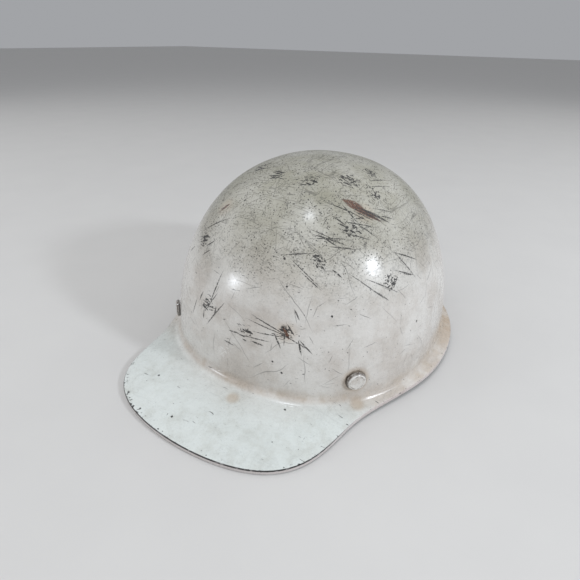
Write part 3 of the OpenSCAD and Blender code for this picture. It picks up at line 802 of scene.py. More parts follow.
def rivet_finish(look):
    """Painted-over rivet: its rims lightened as a painted highlight broken up by wear, its groove, side and
    underside darkened with dirt and painted shade.
    """
    f = Finish("rivet_paint", roughness=0.3, coat=0.3, coat_roughness=0.08)
    worn = f.noise(f.mm, 1.6, 4, 0.7)
    pointing = f.node("ShaderNodeNewGeometry").outputs["Pointiness"]
    # Painted highlight: the head's convex rims lightened towards white, broken up by noise as by wear
    edge = f.times(f.blur(pointing, 0.51, 0.56), f.blur(worn, 0.42, 0.55))
    colour = f.mix(f.blur(f.noise(f.mm, 4, 3, 0.6), 0.4, 0.7), look.paint[:3], look.paint_warm[:3])
    colour = f.mix(edge, colour, (0.86, 0.86, 0.84))
    chip = f.blur(f.noise(f.vector("ADD", f.mm, (5.0, 3.0, 9.0)), 1.3, 3, 0.7), 0.66, 0.7)
    colour = f.mix(chip, colour, look.scratch[:3])
    reach = f.attribute("reach_mm")
    groove = f.blur(f.math("ABSOLUTE", f.minus(reach, 5.0)), 0.5, 0.1)
    groove = f.times(groove, f.blur(f.noise(f.mm, 2.0, 3, 0.6), 0.42, 0.58))
    # Dirt and painted shade: the head's side, underside, shank and face groove darkened to dark brown
    grime = f.most(f.blur(f.plus(reach, f.times(worn, 0.8)), 6.3, 6.9), f.times(groove, 0.8))
    colour = f.mix(f.times(grime, f.blur(worn, 0.36, 0.56, 0.4, 0.95)), colour, look.fibre_and_shade[:3])
    normal = f.bump(f.noise(f.mm, 2.5, 3, 0.6), 0.06)
    normal = f.bump(f.minus(1.0, chip), 0.08, normal)
    return f.out(colour, f.blur(worn, 0.3, 0.7, 0.22, 0.42), normal)


def plastic_finish(name, colour, pale, grain=0.35, roughness=(0.34, 0.55), dust=(0.36, 0.32, 0.26)):
    """Moulded plastic: fine spark-eroded grain, rubbed edges, dust and small scratches."""
    f = Finish(name)
    tone = f.mix(f.blur(f.noise(f.mm, 9, 4, 0.6), 0.35, 0.7, 0.0, 0.22), colour, pale)
    dusty = f.times(f.blur(f.noise(f.mm, 4.5, 5, 0.7), 0.52, 0.75), 0.09)
    tone = f.mix(dusty, tone, dust)
    rub = f.noise(f.stretch(f.mm, (1, 1, 0.12), (20, 35, 0)), 0.7, 3, 0.6)
    tone = f.mix(f.times(f.blur(rub, 0.62, 0.72), 0.4), tone, pale)
    pointing = f.node("ShaderNodeNewGeometry").outputs["Pointiness"]
    tone = f.mix(f.times(f.blur(pointing, 0.52, 0.62), 0.35), tone, pale)
    normal = f.bump(f.noise(f.mm, grain, 2, 0.6), 0.035)
    normal = f.bump(f.noise(f.mm, 6, 2, 0.5), 0.05, normal)
    return f.out(tone, f.blur(f.noise(f.mm, 2.5, 4, 0.7), 0.3, 0.7, *roughness), normal)


def metal_finish(name, colour, dull):
    """Plated steel or aluminium: turned lines, dull spots."""
    f = Finish(name, metallic=1.0)
    brushed = f.noise(f.stretch(f.mm, (0.1, 1, 1)), 0.3, 3, 0.6)
    tone = f.mix(f.blur(f.noise(f.mm, 1.8, 4, 0.7), 0.45, 0.7), colour, dull)
    normal = f.bump(brushed, 0.01)
    return f.out(tone, f.blur(brushed, 0.3, 0.7, 0.24, 0.45), normal)


def webbing_finish(look):
    """Cotton webbing: herringbone ribs along the strap, darker selvedges, sweat stains."""
    f = Finish("webbing", roughness=0.85, sheen=0.25)
    uv = f.node("ShaderNodeUVMap", uv_map="UVMap").outputs["UV"]
    u, v, w = f.split(f.vector("SCALE", uv, scale=1000.0))
    half = f.math("ABSOLUTE", f.minus(v, 11.0))
    slant = f.plus(u, f.times(half, 0.9))
    rib = f.math("SINE", f.times(slant, 2 * math.pi / 1.5))
    warp = f.math("SINE", f.times(v, 2 * math.pi / 0.9))
    weave = f.plus(f.times(rib, 0.5), f.times(warp, 0.35))
    fuzz = f.noise(f.mm, 0.35, 3, 0.7)
    tone = f.mix(f.blur(weave, -0.8, 0.8), look.webbing_dark[:3], look.webbing[:3])
    tone = f.mix(f.times(f.blur(f.noise(f.mm, 18, 4, 0.6), 0.45, 0.7), 0.55), tone, (0.27, 0.19, 0.11))
    tone = f.mix(f.times(f.blur(half, 9.4, 10.4), 0.45), tone, look.webbing_dark[:3])
    tone = f.mix(f.times(f.blur(fuzz, 0.5, 0.8), 0.3), tone, (0.62, 0.57, 0.47))
    height = f.plus(weave, f.times(fuzz, 0.8))
    return f.out(tone, None, f.bump(height, 0.16))


def leather_finish(name, colour, dark, worn):
    """Sweat-darkened leather with pebble grain and creases."""
    f = Finish(name, sheen=0.08)
    grain = f.cells(f.mm, 0.9, "DISTANCE_TO_EDGE")["Distance"]
    crease = f.noise(f.stretch(f.mm, (1, 1, 0.35)), 2.6, 5, 0.7)
    tone = f.mix(f.blur(f.noise(f.mm, 14, 4, 0.6), 0.35, 0.68), colour, dark)
    tone = f.mix(f.times(f.blur(crease, 0.52, 0.68), 0.4), tone, worn)
    tone = f.mix(f.blur(grain, 0.09, 0.0, 0.0, 0.45), tone, dark)
    normal = f.bump(f.blur(grain, 0.0, 0.16), 0.07)
    normal = f.bump(crease, 0.22, normal)
    return f.out(tone, f.blur(crease, 0.3, 0.7, 0.42, 0.66), normal)


def thread_finish(name, colour):
    f = Finish(name, roughness=0.7, sheen=0.2)
    twist = f.noise(f.stretch(f.mm, (1, 1, 1), (30, 40, 0)), 0.25, 2, 0.6)
    tone = f.mix(f.blur(twist, 0.35, 0.65), colour, tuple(c * 0.55 for c in colour))
    return f.out(tone, None, f.bump(twist, 0.05))


def floor_finish():
    f = Finish("pale_floor", roughness=0.55)
    tone = f.mix(f.noise(f.mm, 60, 3, 0.5), (0.60, 0.59, 0.575), (0.64, 0.63, 0.61))
    return f.out(tone, None, f.bump(f.noise(f.mm, 1.5, 2, 0.5), 0.02))


# ---------- Straps, pads and stitches ----------

class StrapLaw:
    """The crown strap's path in its own upright plane, in millimetres."""

    def __init__(self):
        self.azimuth = math.radians(44.5)
        self.width = 22.0
        self.thick = 1.6
        self.power = 2.2

    def path(self, law, top, steps=64):
        z_rivet = (RIVET_LOW.z + RIVET_HIGH.z) / 2 / MM
        fold, low, start_z, high = z_rivet + 23, z_rivet + 15.5, z_rivet + 21, top
        near, far = 19.7, 13.4
        ends = {}
        for side, azimuth in ((1, self.azimuth), (-1, math.pi - self.azimuth)):
            ends[side] = law.plan(azimuth) * law.scale(z_rivet)
        points = [(ends[1] - far, fold), (ends[1] - far, low + 1.5), (ends[1] - far - 1.0, low + 0.2),
                  (ends[1] - near + 1.0, low), (ends[1] - near, low + 1.2)]
        for i in range(steps + 1):
            t = math.pi * i / steps
            side = 1 if math.cos(t) >= 0 else -1
            reach = (ends[side] - near) * side * abs(math.cos(t)) ** (2 / self.power)
            points.append((reach, start_z + (high - start_z) * abs(math.sin(t)) ** (2 / self.power)))
        points += [(-(ends[-1] - near), low + 1.2), (-(ends[-1] - near + 1.0) + 2.0, low),
                   (-(ends[-1] - far - 1.0), low + 0.2), (-(ends[-1] - far), low + 1.5),
                   (-(ends[-1] - far), fold)]
        return points


def resample(points, step):
    """Even steps along a line of points, with the distance of each."""
    path = [Vector(p) for p in points]
    marks, total = [0.0], 0.0
    for a, b in zip(path, path[1:]):
        total += (b - a).length
        marks.append(total)
    count = max(2, round(total / step))
    even, k = [], 0
    for i in range(count + 1):
        d = total * i / count
        while k < len(path) - 2 and marks[k + 1] < d:
            k += 1
        share = (d - marks[k]) / max(1e-9, marks[k + 1] - marks[k])
        even.append((path[k].lerp(path[k + 1], share), d))
    return even


def build_strap(law, name, top, flip):
    """Webbing bent from a flat grid along its path, then given its thickness."""
    strap = StrapLaw()
    even = resample(strap.path(law, top), 1.4)
    rows, columns = len(even) - 1, 8
    piece = start(bpy.ops.mesh.primitive_grid_add, name, x_subdivisions=rows, y_subdivisions=columns,
                  size=1.0)
    edit(piece)
    mesh = cage(piece)
    uv = mesh.loops.layers.uv.verify()
    ahead = Vector((math.sin(strap.azimuth), -math.cos(strap.azimuth), 0))
    across = Vector((math.cos(strap.azimuth), math.sin(strap.azimuth), 0))
    if flip:
        ahead.x, across.x = -ahead.x, -across.x
    for face in mesh.faces:
        for loop in face.loops:
            at = loop.vert.co
            loop[uv].uv = ((at.x + 0.5) * even[-1][1] * MM, (at.y + 0.5) * strap.width * MM)
    for vert in mesh.verts:
        spot, distance = even[round((vert.co.x + 0.5) * rows)]
        aside = vert.co.y * strap.width
        vert.co = (ahead * spot.x + across * aside + Vector((0, 0, spot.y))) * MM
    bmesh.update_edit_mesh(piece.data)
    leave_edit()
    solid = piece.modifiers.new("thickness", "SOLIDIFY")
    solid.thickness = strap.thick * MM
    solid.offset = 0
    bevel = piece.modifiers.new("selvedge", "BEVEL")
    bevel.width = 0.45 * MM
    bevel.segments = 2
    bevel.limit_method = "ANGLE"
    bevel.angle_limit = math.radians(60)
    finish_modifiers(piece)
    edit(piece)
    bpy.ops.mesh.select_all(action="SELECT")
    bpy.ops.mesh.normals_make_consistent(inside=False)
    leave_edit()
    smooth(piece, 50)
    return piece


def stitch_pattern(length, radius):
    """One stitch: a short thread bent down at both ends."""
    piece = start(bpy.ops.mesh.primitive_cylinder_add, "stitch", vertices=6, radius=radius, depth=length,
                  rotation=(0, math.pi / 2, 0))
    settle(piece)
    edit(piece)
    bpy.ops.mesh.select_all(action="SELECT")
    bpy.ops.mesh.bisect(plane_co=(-length * 0.25, 0, 0), plane_no=(1, 0, 0))
    bpy.ops.mesh.select_all(action="SELECT")
    bpy.ops.mesh.bisect(plane_co=(length * 0.25, 0, 0), plane_no=(1, 0, 0))
    mesh = cage(piece)
    for vert in mesh.verts:
        if abs(vert.co.x) > length * 0.4:
            vert.co.z -= radius * 1.5
            vert.co.y *= 0.7
    bmesh.update_edit_mesh(piece.data)
    leave_edit()
    return piece


def sew(name, places, length, radius, material):
    """Stitches at (place, way along, outward) in metres, joined into one row of thread."""
    pattern = stitch_pattern(length, radius)
    threads = []
    for place, way, out in places:
        side = out.cross(way).normalized()
        turn = Matrix((way.normalized(), side, way.cross(side).normalized())).transposed().to_4x4()
        if (turn @ Vector((0, 0, 1))).dot(out) < 0:
            turn = Matrix((way.normalized(), -side, way.cross(-side).normalized())).transposed().to_4x4()
        thread = pattern.copy()
        thread.data = pattern.data.copy()
        thread.data.transform(Matrix.Translation(place) @ turn)
        bpy.context.scene.collection.objects.link(thread)
        threads.append(thread)
    bpy.data.objects.remove(pattern)
    whole = join(threads, name)
    outward(whole)
    smooth(whole, 60)
    dress(whole, material)
    return whole


class BandLaw:
    """The headband's three arcs, in millimetres: a place and the inward way at a distance from the brow."""

    def __init__(self):
        self.rear, self.front = BAND_HIGH.x / MM - 1.6, 64.0
        self.y = 8.0
        self.gap = 38.0
        step = self.rear - self.front
        self.shift = (self.gap ** 2 - step ** 2) / (2 * step)
        self.side = self.shift + self.rear
        self.bend = math.asin(self.gap / (self.side - self.front))
        self.front_half = self.front * (math.pi / 2 - self.bend)

    def at(self, distance, inset):
        """A point at a signed distance from the brow along the inner face, moved inward by inset."""
        sign = 1 if distance >= 0 else -1
        d = abs(distance)
        if d <= self.front_half:
            t = -math.pi / 2 + d / self.front
            centre, radius = Vector((0, self.y - self.gap)), self.front
        else:
            t = -self.bend + (d - self.front_half) / self.side
            centre, radius = Vector((-self.shift, self.y)), self.side
        way = Vector((math.cos(t), math.sin(t)))
        spot = centre + way * (radius - inset)
        return Vector((spot.x * sign, spot.y)), Vector((way.x * sign, way.y))

    def reach(self, side_from):
        return self.front_half + self.side * (self.bend - math.radians(side_from))


def inflate(piece, pressure, frames, cap):
    """Swell a closed pad with a short cloth simulation, and cap how far each point may move."""
    before = [v.co.copy() for v in piece.data.vertices]
    only(piece)
    cloth = piece.modifiers.new("swell", "CLOTH")
    cloth.settings.quality = 5
    cloth.settings.use_pressure = True
    cloth.settings.uniform_pressure_force = pressure
    cloth.settings.effector_weights.gravity = 0
    cloth.settings.mass = 0.03
    cloth.settings.tension_stiffness = 5
    cloth.settings.bending_stiffness = 0.1
    cloth.point_cache.frame_end = frames
    scene = bpy.context.scene
    for step in range(1, frames + 1):
        scene.frame_set(step)
    bpy.ops.object.modifier_apply(modifier=cloth.name)
    scene.frame_set(1)
    for vert, rest in zip(piece.data.vertices, before):
        move = vert.co - rest
        if move.length > cap:
            vert.co = rest + move * (cap / move.length)


def on_surface(pad, places):
    """Move each stitch's place along its facing onto the pad's finished surface."""
    settled = []
    for place, way, facing in places:
        hit, spot, normal, index = pad.ray_cast(place + facing * 5 * MM, -facing, distance=10 * MM)
        settled.append((spot + facing * 0.12 * MM if hit else place, way, facing))
    return settled


def pad_block(node, name, voxel, shrink):
    """A pad's closed form from its CAD solid, remeshed evenly and drawn in a little."""
    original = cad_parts[node]
    piece = original.copy()
    piece.data = original.data.copy()
    piece.name = name
    for key in list(piece.keys()):
        del piece[key]
    piece.parent = None
    piece.matrix_world = Matrix.Identity(4)
    bpy.context.scene.collection.objects.link(piece)
    outward(piece)
    only(piece)
    remesh = piece.modifiers.new("even", "REMESH")
    remesh.mode = "VOXEL"
    remesh.voxel_size = voxel
    finish_modifiers(piece)
    soften = piece.modifiers.new("soften", "SMOOTH")
    soften.factor = 0.5
    soften.iterations = 4
    finish_modifiers(piece)
    mesh = piece.data
    normals = [v.normal.copy() for v in mesh.vertices]
    for vert, normal in zip(mesh.vertices, normals):
        vert.co -= normal * shrink
    return piece


def build_brow_pad(material, thread):
    """Padded leather sweatband: swollen between sewn channels, with stitched hems."""
    band = BandLaw()
    low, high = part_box("brow_pad")
    pad = pad_block("brow_pad", "sweatband", 1.7 * MM, 0.55 * MM)
    inflate(pad, 9.0, 20, 0.8 * MM)
    length = band.reach(12)
    channel = 24.0
    middle = (low.z + high.z) / 2
    mesh = pad.data
    for vert in mesh.vertices:
        at = vert.co / MM
        if at.y < band.y - band.gap and abs(at.x) < band.front * math.cos(band.bend):
            t = math.atan2(abs(at.x), -(at.y - (band.y - band.gap)))
            distance, depth = t * band.front, band.front - Vector((at.x, at.y - band.y + band.gap)).length
        else:
            t = math.atan2(-(at.y - band.y), abs(at.x) + band.shift)
            distance = band.front_half + band.side * (band.bend - t)
            depth = band.side - Vector((abs(at.x) + band.shift, at.y - band.y)).length
        if depth > 2.6:
            line = abs((distance + channel / 2) % channel - channel / 2)
            groove = math.exp(-(line / 1.3) ** 2) * 1.5
            hem = math.exp(-((abs(vert.co.z - middle) - (high.z - low.z) / 2 + 3.2 * MM)
                             / (0.9 * MM)) ** 2) * 0.7
            flat = Vector((at.x, at.y - (band.y - band.gap if distance <= band.front_half else band.y)))
            flat = Vector((flat.x, flat.y, 0)).normalized()
            vert.co += flat * max(groove, hem) * MM
    fine = pad.modifiers.new("round", "SUBSURF")
    fine.levels = 1
    fine.render_levels = 1
    finish_modifiers(pad)
    smooth(pad, 70)
    dress(pad, material)
    places = []
    pitch = 3.6
    for z in (low.z + 3.2 * MM, high.z - 3.2 * MM):
        for i in range(int(-length / pitch) + 1, int(length / pitch)):
            spot, way = band.at(i * pitch, 4.35)
            along = Vector((-way.y, way.x, 0))
            places.append((Vector((spot.x * MM, spot.y * MM, z)), along, Vector((-way.x, -way.y, 0))))
    seams = sew("sweatband_stitches", on_surface(pad, places), 2.6 * MM, 0.3 * MM, thread)
    return pad, seams


def build_nape_pad(material, thread):
    """Padded leather over the ratchet's inner face, sewn round its border."""
    low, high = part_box("nape_pad")
    pad = pad_block("nape_pad", "nape_cushion", 1.5 * MM, 0.5 * MM)
    inflate(pad, 9.0, 20, 0.8 * MM)
    centre_y, inner = 8.0, 80.0 - 1.4 - 4.3
    middle = (low.z + high.z) / 2
    half_z, half_turn = (high.z - low.z) / 2 / MM - 3.4, 26.0 - 2.6
    for vert in pad.data.vertices:
        at = Vector((vert.co.x / MM, vert.co.y / MM - centre_y))
        if at.length < inner + 1.8:
            turn = math.degrees(math.atan2(at.x, at.y))
            border = min(abs(abs(turn) - half_turn) * 1.35, abs(abs(vert.co.z - middle) / MM - half_z))
            rib = abs((turn + 5) % 10 - 5) * 1.35
            sink = max(math.exp(-(border / 0.9) ** 2) * 0.8, math.exp(-(rib / 1.1) ** 2) * 1.1)
            push = at.normalized() * sink
            vert.co += Vector((push.x, push.y, 0)) * MM
    fine = pad.modifiers.new("round", "SUBSURF")
    fine.levels = 1
    fine.render_levels = 1
    finish_modifiers(pad)
    smooth(pad, 70)
    dress(pad, material)
    places = []
    for z in (middle - half_z * MM, middle + half_z * MM):
        for i in range(-11, 12):
            t = math.radians(i * 2.1)
            out = Vector((-math.sin(t), -math.cos(t), 0))
            spot = Vector((0, centre_y * MM, z)) - out * (inner + 0.55) * MM
            places.append((spot, Vector((math.cos(t), -math.sin(t), 0)), out))
    seams = sew("nape_stitches", on_surface(pad, places), 2.2 * MM, 0.28 * MM, thread)
    return pad, seams


def build_patch(material, thread):
    """A leather disc over the straps' crossing: cut from a disc, hemmed and lightly domed."""
    middle = (PATCH_LOW + PATCH_HIGH) / 2
    radius = (PATCH_HIGH.x - PATCH_LOW.x) / 2
    thick = PATCH_HIGH.z - PATCH_LOW.z
    piece = start(bpy.ops.mesh.primitive_cylinder_add, "patch_leather", vertices=72, radius=radius,
                  depth=thick,
                  location=middle)
    settle(piece)
    edit(piece, "FACE")
    for inset, rise in ((0.4, 0.0), (1.2, 0.12), (0.7, -0.22), (0.7, 0.22), (4.0, 0.1), (4.0, 0.0)):
        pick_faces(piece, lambda c, n: n.z > 0.9 and c.xy.length < 0.2 * MM)
        bpy.ops.mesh.inset(thickness=inset * MM, depth=0)
        bpy.ops.transform.translate(value=(0, 0, rise * MM))
    leave_edit()
    bevel = piece.modifiers.new("edge", "BEVEL")
    bevel.width = 0.35 * MM
    bevel.segments = 2
    bevel.limit_method = "ANGLE"
    bevel.angle_limit = math.radians(50)
    finish_modifiers(piece)
    smooth(piece, 50)
    dress(piece, material)
    places = []
    count = 32
    for i in range(count):
        t = 2 * math.pi * i / count
        out = Vector((math.cos(t), math.sin(t), 0))
        places.append((out * (radius - 2.0 * MM) + Vector((0, 0, PATCH_HIGH.z + 0.0 * MM)),
                       Vector((-math.sin(t), math.cos(t), 0)), Vector((0, 0, 1))))
    return piece, sew("patch_stitches", places, 2.4 * MM, 0.28 * MM, thread)


def build_strap_stitches(law, top, flip, name, thread):
    """A sewn box with a cross at each end of a strap, where it is folded round the lug's bar."""
    strap = StrapLaw()
    even = resample(strap.path(law, top), 1.0)
    ahead = Vector((math.sin(strap.azimuth), -math.cos(strap.azimuth), 0))
    across = Vector((math.cos(strap.azimuth), math.sin(strap.azimuth), 0))
    if flip:
        ahead.x, across.x = -ahead.x, -across.x
    places = []
    total = even[-1][1]

    def on_strap(distance, aside, outer=False):
        index = min(range(len(even)), key=lambda k: abs(even[k][1] - distance))
        here, ahead_point = even[index][0], even[min(index + 1, len(even) - 1)][0]
        run = (ahead_point - here).normalized()
        way = ahead * run.x + Vector((0, 0, run.y))
        inward = Vector((-ahead * run.y)) + Vector((0, 0, run.x))
        if inward.dot(Vector((0, 0, 50)) - (ahead * here.x + Vector((0, 0, here.y)))) < 0:
            inward = -inward
        if outer:
            inward = -inward
        spot = (ahead * here.x + across * aside + Vector((0, 0,
                                                          here.y)) + inward * (strap.thick / 2 + 0.08)) * MM
        return spot, way, inward

    box_length, half, step = 16.0, 8.0, 2.9
    for begin in (27.0, total - 27.0 - box_length):
        for outer in (False, True):
            for i in range(int(box_length / step) + 1):
                for aside in (-half, half):
                    places.append(on_strap(begin + i * step, aside, outer))
            for i in range(int(2 * half / step) + 1):
                aside = -half + step * i
                slant = box_length * i * step / (2 * half)
                for distance in (begin, begin + box_length):
                    spot, way, facing = on_strap(distance, aside, outer)
                    places.append((spot, across, facing))
                for distance, lean in ((begin + slant, 1), (begin + box_length - slant, -1)):
                    spot, way, facing = on_strap(distance, aside, outer)
                    places.append((spot, (way * lean + across).normalized(), facing))
    return sew(name, places, 2.2 * MM, 0.27 * MM, thread)


# ---------- Sizes and colours ----------

def colour_property(name, value, words):
    return bpy.props.FloatVectorProperty(name=name, description=words, subtype="COLOR", size=4, min=0, max=1,
                                         default=(*value, 1.0))


def length_property(name, value, words):
    return bpy.props.FloatProperty(name=name, description=words, subtype="DISTANCE", unit="LENGTH",
                                   default=value)


class HatSizes(bpy.types.PropertyGroup):
    dome_half_width: length_property("Dome half width", 107.5 * MM, "Half of the dome's width, outside")
    dome_front: length_property("Dome front", 112.5 * MM, "Dome's reach in front of the centre")
    dome_back: length_property("Dome back", 117.0 * MM, "Dome's reach behind the centre")
    wall_thickness: length_property("Wall", 2.6 * MM, "Thickness of the dome's wall")
    rim_thickness: length_property("Rim", 3.4 * MM, "Thickness of the visor and rim")


class HatLooks(bpy.types.PropertyGroup):
    paint: colour_property("Paint", (0.65, 0.63, 0.595), "White paint on the dome, aged")
    paint_warm: colour_property("Warm paint", (0.525, 0.485, 0.44), "Where the paint has yellowed")
    visor_paint: colour_property("Visor paint", (0.665, 0.705, 0.68),
                                 "The cooler, cleaner white of the visor")
    rim_side: colour_property("Rim's side", (0.56, 0.49, 0.475), "The rim's side face, pinkish")
    visor_shade: colour_property("Visor shade", (0.585, 0.615, 0.58),
                                 "The visor's paint where it is a little dirty")
    grime: colour_property("Grime", (0.40, 0.37, 0.32), "Soft dirt in blotches")
    grime_dark: colour_property("Dark grime", (0.17, 0.16, 0.13), "Dirt in the paint's fine grain")
    crown_dirt: colour_property("Crown dirt", (0.315, 0.305, 0.235), "Ground-in dirt over the crown")
    tan_stain: colour_property("Tan stain", (0.42, 0.31, 0.20), "Old varnish-like stains")
    scratch: colour_property("Scratch", (0.017, 0.016, 0.015), "Dark shell showing in scratches")
    gouge: colour_property("Gouge", (0.115, 0.047, 0.024), "Brown shell showing in the gouges")
    dark_shell: colour_property("Dark shell", (0.016, 0.014, 0.013), "Bare moulded shell")
    # This brown also paints the shade and dirt on the rivets' sides and in the ring round each rivet head
    fibre_and_shade: colour_property("Fibre", (0.055, 0.035, 0.022), "Fibres in the bare shell")
    webbing: colour_property("Webbing", (0.50, 0.43, 0.31), "Cotton webbing, light threads")
    webbing_dark: colour_property("Webbing shade", (0.25, 0.20, 0.13), "Cotton webbing, between the ribs")


class StageSettings(bpy.types.PropertyGroup):
    azimuth: bpy.props.FloatProperty(name="Azimuth", description="Camera's way round the hat from the front",
                                     subtype="ANGLE", default=math.radians(32.0))
    elevation: bpy.props.FloatProperty(name="Elevation", description="Camera's height above the horizon",
                                       subtype="ANGLE", default=math.radians(30.3))
    roll: bpy.props.FloatProperty(name="Roll", description="Camera's roll", subtype="ANGLE",
                                  default=math.radians(1.0))
    distance: length_property("Distance", 0.3664, "Camera to the plane through the hat's middle")
    aside: length_property("Aside", 0.0200, "Camera's shift to the left of the hat's middle")
    below: length_property("Below", 0.0261, "Camera's shift below the hat's middle")
    middle: length_property("Middle", 0.0582, "Height of the hat's middle")
    lens: bpy.props.FloatProperty(name="Lens", description="Focal length in millimetres", default=27.06)


# ---------- Operators ----------

class HatOperator:
    bl_options = {"REGISTER", "UNDO"}

    @staticmethod
    def law(context):
        return ShellLaw(context.scene.hat_sizes)


class HAT_OT_stage(bpy.types.Operator):
    """Camera, pale floor and soft studio lights"""
    bl_idname = "hat.stage"
    bl_label = "Stage"

    def execute(self, context):
        s = context.scene.hat_stage
        forward = Vector((-math.sin(s.azimuth) * math.cos(s.elevation),
                          math.cos(s.azimuth) * math.cos(s.elevation),
                          -math.sin(s.elevation)))
        right = forward.cross(Vector((0, 0, 1))).normalized()
        up = right.cross(forward)
        turned = right * math.cos(s.roll) + up * math.sin(s.roll)
        up = up * math.cos(s.roll) - right * math.sin(s.roll)
        right = turned
        place = Vector((0, 0, s.middle)) - forward * s.distance - right * s.aside - up * s.below
        camera = bpy.data.objects.new("camera", bpy.data.cameras.new("camera"))
        context.scene.collection.objects.link(camera)
        camera.data.lens = s.lens
        camera.data.sensor_width = 36.0
        camera.data.clip_start = 0.01
        camera.data.clip_end = 50.0
        basis = Matrix((right, up, -forward)).transposed().to_4x4()
        camera.matrix_world = Matrix.Translation(place) @ basis
        context.scene.camera = camera

        floor = start(bpy.ops.mesh.primitive_plane_add, "floor", size=14.0, location=(0, 0, -0.0002))
        dress(floor, floor_finish())

        target = Vector((0, 0, 0.07))
        for name, azimuth, elevation, size, power in (
                ("lamp_left", -37, 10, 0.08, 2.2), ("lamp_top", -10, 78, 0.10, 2.6),
                ("lamp_right", 90, 27, 0.15, 10.0),
                ("softbox_front", 12, 45, 1.6, 6.5), ("softbox_left", -80, 40, 1.4, 4.5),
                ("softbox_back", 150, 45, 1.6, 5.0)):
            data = bpy.data.lights.new(name, "AREA")
            data.size = size
            data.energy = power
            data.color = (0.88, 0.93, 1.0) if name.startswith("lamp") else (1.0, 1.0, 1.0)
            lamp = bpy.data.objects.new(name, data)
            context.scene.collection.objects.link(lamp)
            a, e = math.radians(azimuth), math.radians(elevation)
            way = Vector((math.sin(a) * math.cos(e), -math.cos(a) * math.cos(e), math.sin(e)))
            lamp.location = target + way * 1.5
            lamp.rotation_euler = way.to_track_quat("Z", "Y").to_euler()
        world = bpy.data.worlds.new("studio")
        context.scene.world = world
        world.use_nodes = True
        world.node_tree.nodes["Background"].inputs["Color"].default_value = (0.86, 0.88, 0.92, 1)
        world.node_tree.nodes["Background"].inputs["Strength"].default_value = 0.42
        context.scene.view_settings.view_transform = "Standard"
        return {"FINISHED"}


class HAT_OT_shell(bpy.types.Operator, HatOperator):
    """The painted shell, from the crown to the rim's edge and back up inside"""
    bl_idname = "hat.shell"
    bl_label = "Shell"

    def execute(self, context):
        law = self.law(context)
        piece = build_shell(law)
        dress(piece, shell_finish(law, context.scene.hat_looks))
        put_in(piece, "shell", "shell_paint", "shell")
        return {"FINISHED"}


class HAT_OT_rivets(bpy.types.Operator, HatOperator):
    """Button-head rivets and their washers"""
    bl_idname = "hat.rivets"
    bl_label = "Rivets"

    def execute(self, context):
        piece = build_rivets(self.law(context))
        dress(piece, rivet_finish(context.scene.hat_looks))
        put_in(piece, "shell", "rivet_paint", "rivets")
        washers = refined("rivet_washers", 0.15 * MM, "washers")
        dress(washers, metal_finish("washer_metal", (0.52, 0.52, 0.52), (0.3, 0.29, 0.27)))
        put_in(washers, "shell", "washer_metal", "rivet_washers")
        return {"FINISHED"}


class HAT_OT_fittings(bpy.types.Operator, HatOperator):
    """Lug holders, lugs, arm guides, headband and rack arms"""
    bl_idname = "hat.fittings"
    bl_label = "Fittings"

    def execute(self, context):
        nylon = plastic_finish("suspension_nylon", (0.055, 0.058, 0.062), (0.16, 0.16, 0.16))
        strip = plastic_finish("band_plastic", (0.028, 0.03, 0.033), (0.09, 0.09, 0.09), 0.8, (0.28, 0.48))
        for end in ("front", "rear"):
            for side in ("left", "right"):
                holder = refined(f"lug_holder_{end}_{side}", 0.4 * MM, f"holder_{end}_{side}")
                dress(holder, nylon)
                put_in(holder, "shell", "suspension_nylon", f"lug_holder_{end}_{side}")
                lug = refined(f"lug_{end}_{side}", 0.35 * MM, f"suspension_lug_{end}_{side}")
                dress(lug, nylon)
                put_in(lug, "suspension", "suspension_nylon", f"lug_{end}_{side}")
        for side in ("left", "right"):
            guide = refined(f"arm_guide_{side}", 0.3 * MM, f"guide_{side}")
            dress(guide, nylon)
            put_in(guide, "suspension", "suspension_nylon", f"arm_guide_{side}")
            arm = refined(f"rack_arm_{side}", 0.2 * MM, f"toothed_arm_{side}")
            dress(arm, strip)
            put_in(arm, f"arm_{side}", "band_plastic", f"rack_arm_{side}")
        band = refined("headband", 0.4 * MM, "headband_strip")
        dress(band, strip)
        put_in(band, "suspension", "band_plastic", "headband")
        return {"FINISHED"}


class HAT_OT_ratchet(bpy.types.Operator, HatOperator):
    """Ratchet housing, knob, pinion, detent spring and screws"""
    bl_idname = "hat.ratchet"
    bl_label = "Ratchet"

    def execute(self, context):
        plastic = plastic_finish("ratchet_plastic", (0.022, 0.022, 0.024), (0.08, 0.08, 0.08))
        acetal = plastic_finish("gear_acetal", (0.62, 0.60, 0.54), (0.74, 0.73, 0.69))
        steel = metal_finish("spring_steel", (0.58, 0.58, 0.58), (0.38, 0.37, 0.35))
        for node, width, material, slot, body in (
                ("ratchet_base", 0.4, plastic, "ratchet_plastic", "suspension"),
                ("ratchet_cover", 0.35, plastic, "ratchet_plastic", "suspension"),
                ("ratchet_knob", 0.4, plastic, "ratchet_plastic", "knob"),
                ("pinion", 0.12, acetal, "gear_acetal", "knob"),
                ("detent_spring", 0.12, steel, "spring_steel", "knob"),
                ("knob_screw", 0.15, steel, "spring_steel", "knob"),
                ("housing_screws", 0.12, steel, "spring_steel", "suspension")):
            piece = refined(node, width * MM, node + "_finished")
            dress(piece, material)
            put_in(piece, body, slot, node)
        return {"FINISHED"}


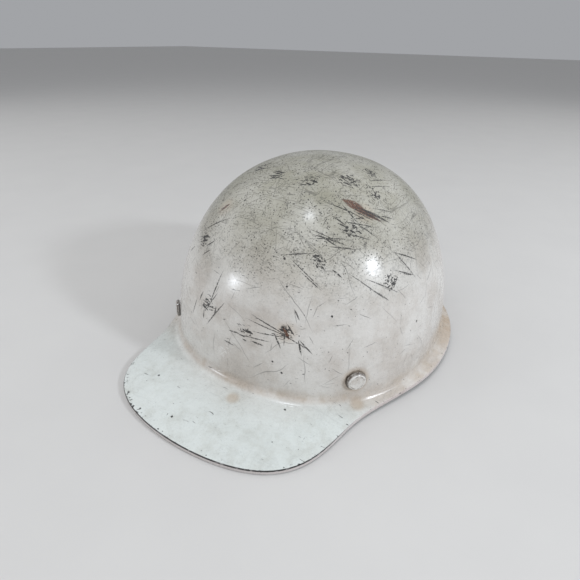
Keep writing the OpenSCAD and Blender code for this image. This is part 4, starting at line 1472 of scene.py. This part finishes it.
class HAT_OT_straps(bpy.types.Operator, HatOperator):
    """Crossing crown straps with their stitching, and the leather patch"""
    bl_idname = "hat.straps"
    bl_label = "Crown straps"

    def execute(self, context):
        law = self.law(context)
        webbing = webbing_finish(context.scene.hat_looks)
        thread = thread_finish("thread_white", (0.66, 0.62, 0.52))
        top = STRAP_HIGH.z / MM - 0.8
        for name, node, height, flip in (("webbing_lower", "crown_strap_lower", top, False),
                                         ("webbing_upper", "crown_strap_upper", top + 2.2, True)):
            piece = build_strap(law, name, height, flip)
            dress(piece, webbing)
            put_in(piece, "suspension", "webbing", node)
            seams = build_strap_stitches(law, height, flip, name + "_stitches", thread)
            put_in(seams, "suspension", "webbing")
        leather = leather_finish("patch_leather", (0.12, 0.055, 0.028), (0.05, 0.024, 0.014),
                                 (0.24, 0.13, 0.075))
        patch, seams = build_patch(leather, thread)
        put_in(patch, "suspension", "patch_leather", "crown_patch")
        put_in(seams, "suspension", "webbing")
        return {"FINISHED"}


class HAT_OT_pads(bpy.types.Operator, HatOperator):
    """Padded sweatband and nape pad"""
    bl_idname = "hat.pads"
    bl_label = "Pads"

    def execute(self, context):
        leather = leather_finish("sweat_pad", (0.15, 0.075, 0.040), (0.062, 0.033, 0.020),
                                 (0.27, 0.155, 0.09))
        thread = thread_finish("thread_tan", (0.42, 0.32, 0.20))
        pad, seams = build_brow_pad(leather, thread)
        put_in(pad, "suspension", "sweat_pad", "brow_pad")
        put_in(seams, "suspension", "webbing")
        pad, seams = build_nape_pad(leather, thread)
        put_in(pad, "suspension", "sweat_pad", "nape_pad")
        put_in(seams, "suspension", "webbing")
        return {"FINISHED"}


class HAT_PT_panel(bpy.types.Panel):
    bl_label = "Hard Hat"
    bl_idname = "HAT_PT_panel"
    bl_space_type = "VIEW_3D"
    bl_region_type = "UI"
    bl_category = "Hard Hat"

    def draw(self, context):
        for name in STEPS:
            self.layout.operator("hat." + name)
        for group in (context.scene.hat_sizes, context.scene.hat_looks, context.scene.hat_stage):
            for key in group.__annotations__:
                self.layout.prop(group, key)


STEPS = ("stage", "shell", "rivets", "fittings", "ratchet", "straps", "pads")
CLASSES = (HatSizes, HatLooks, StageSettings, HAT_OT_stage, HAT_OT_shell, HAT_OT_rivets, HAT_OT_fittings,
           HAT_OT_ratchet, HAT_OT_straps, HAT_OT_pads, HAT_PT_panel)


def register():
    for cls in CLASSES:
        bpy.utils.register_class(cls)
    bpy.types.Scene.hat_sizes = bpy.props.PointerProperty(type=HatSizes)
    bpy.types.Scene.hat_looks = bpy.props.PointerProperty(type=HatLooks)
    bpy.types.Scene.hat_stage = bpy.props.PointerProperty(type=StageSettings)


def unregister():
    del bpy.types.Scene.hat_stage
    del bpy.types.Scene.hat_looks
    del bpy.types.Scene.hat_sizes
    for cls in reversed(CLASSES):
        bpy.utils.unregister_class(cls)


def main():
    register()
    for name in STEPS:
        getattr(bpy.ops.hat, name)()


if __name__ == "__main__":
    main()
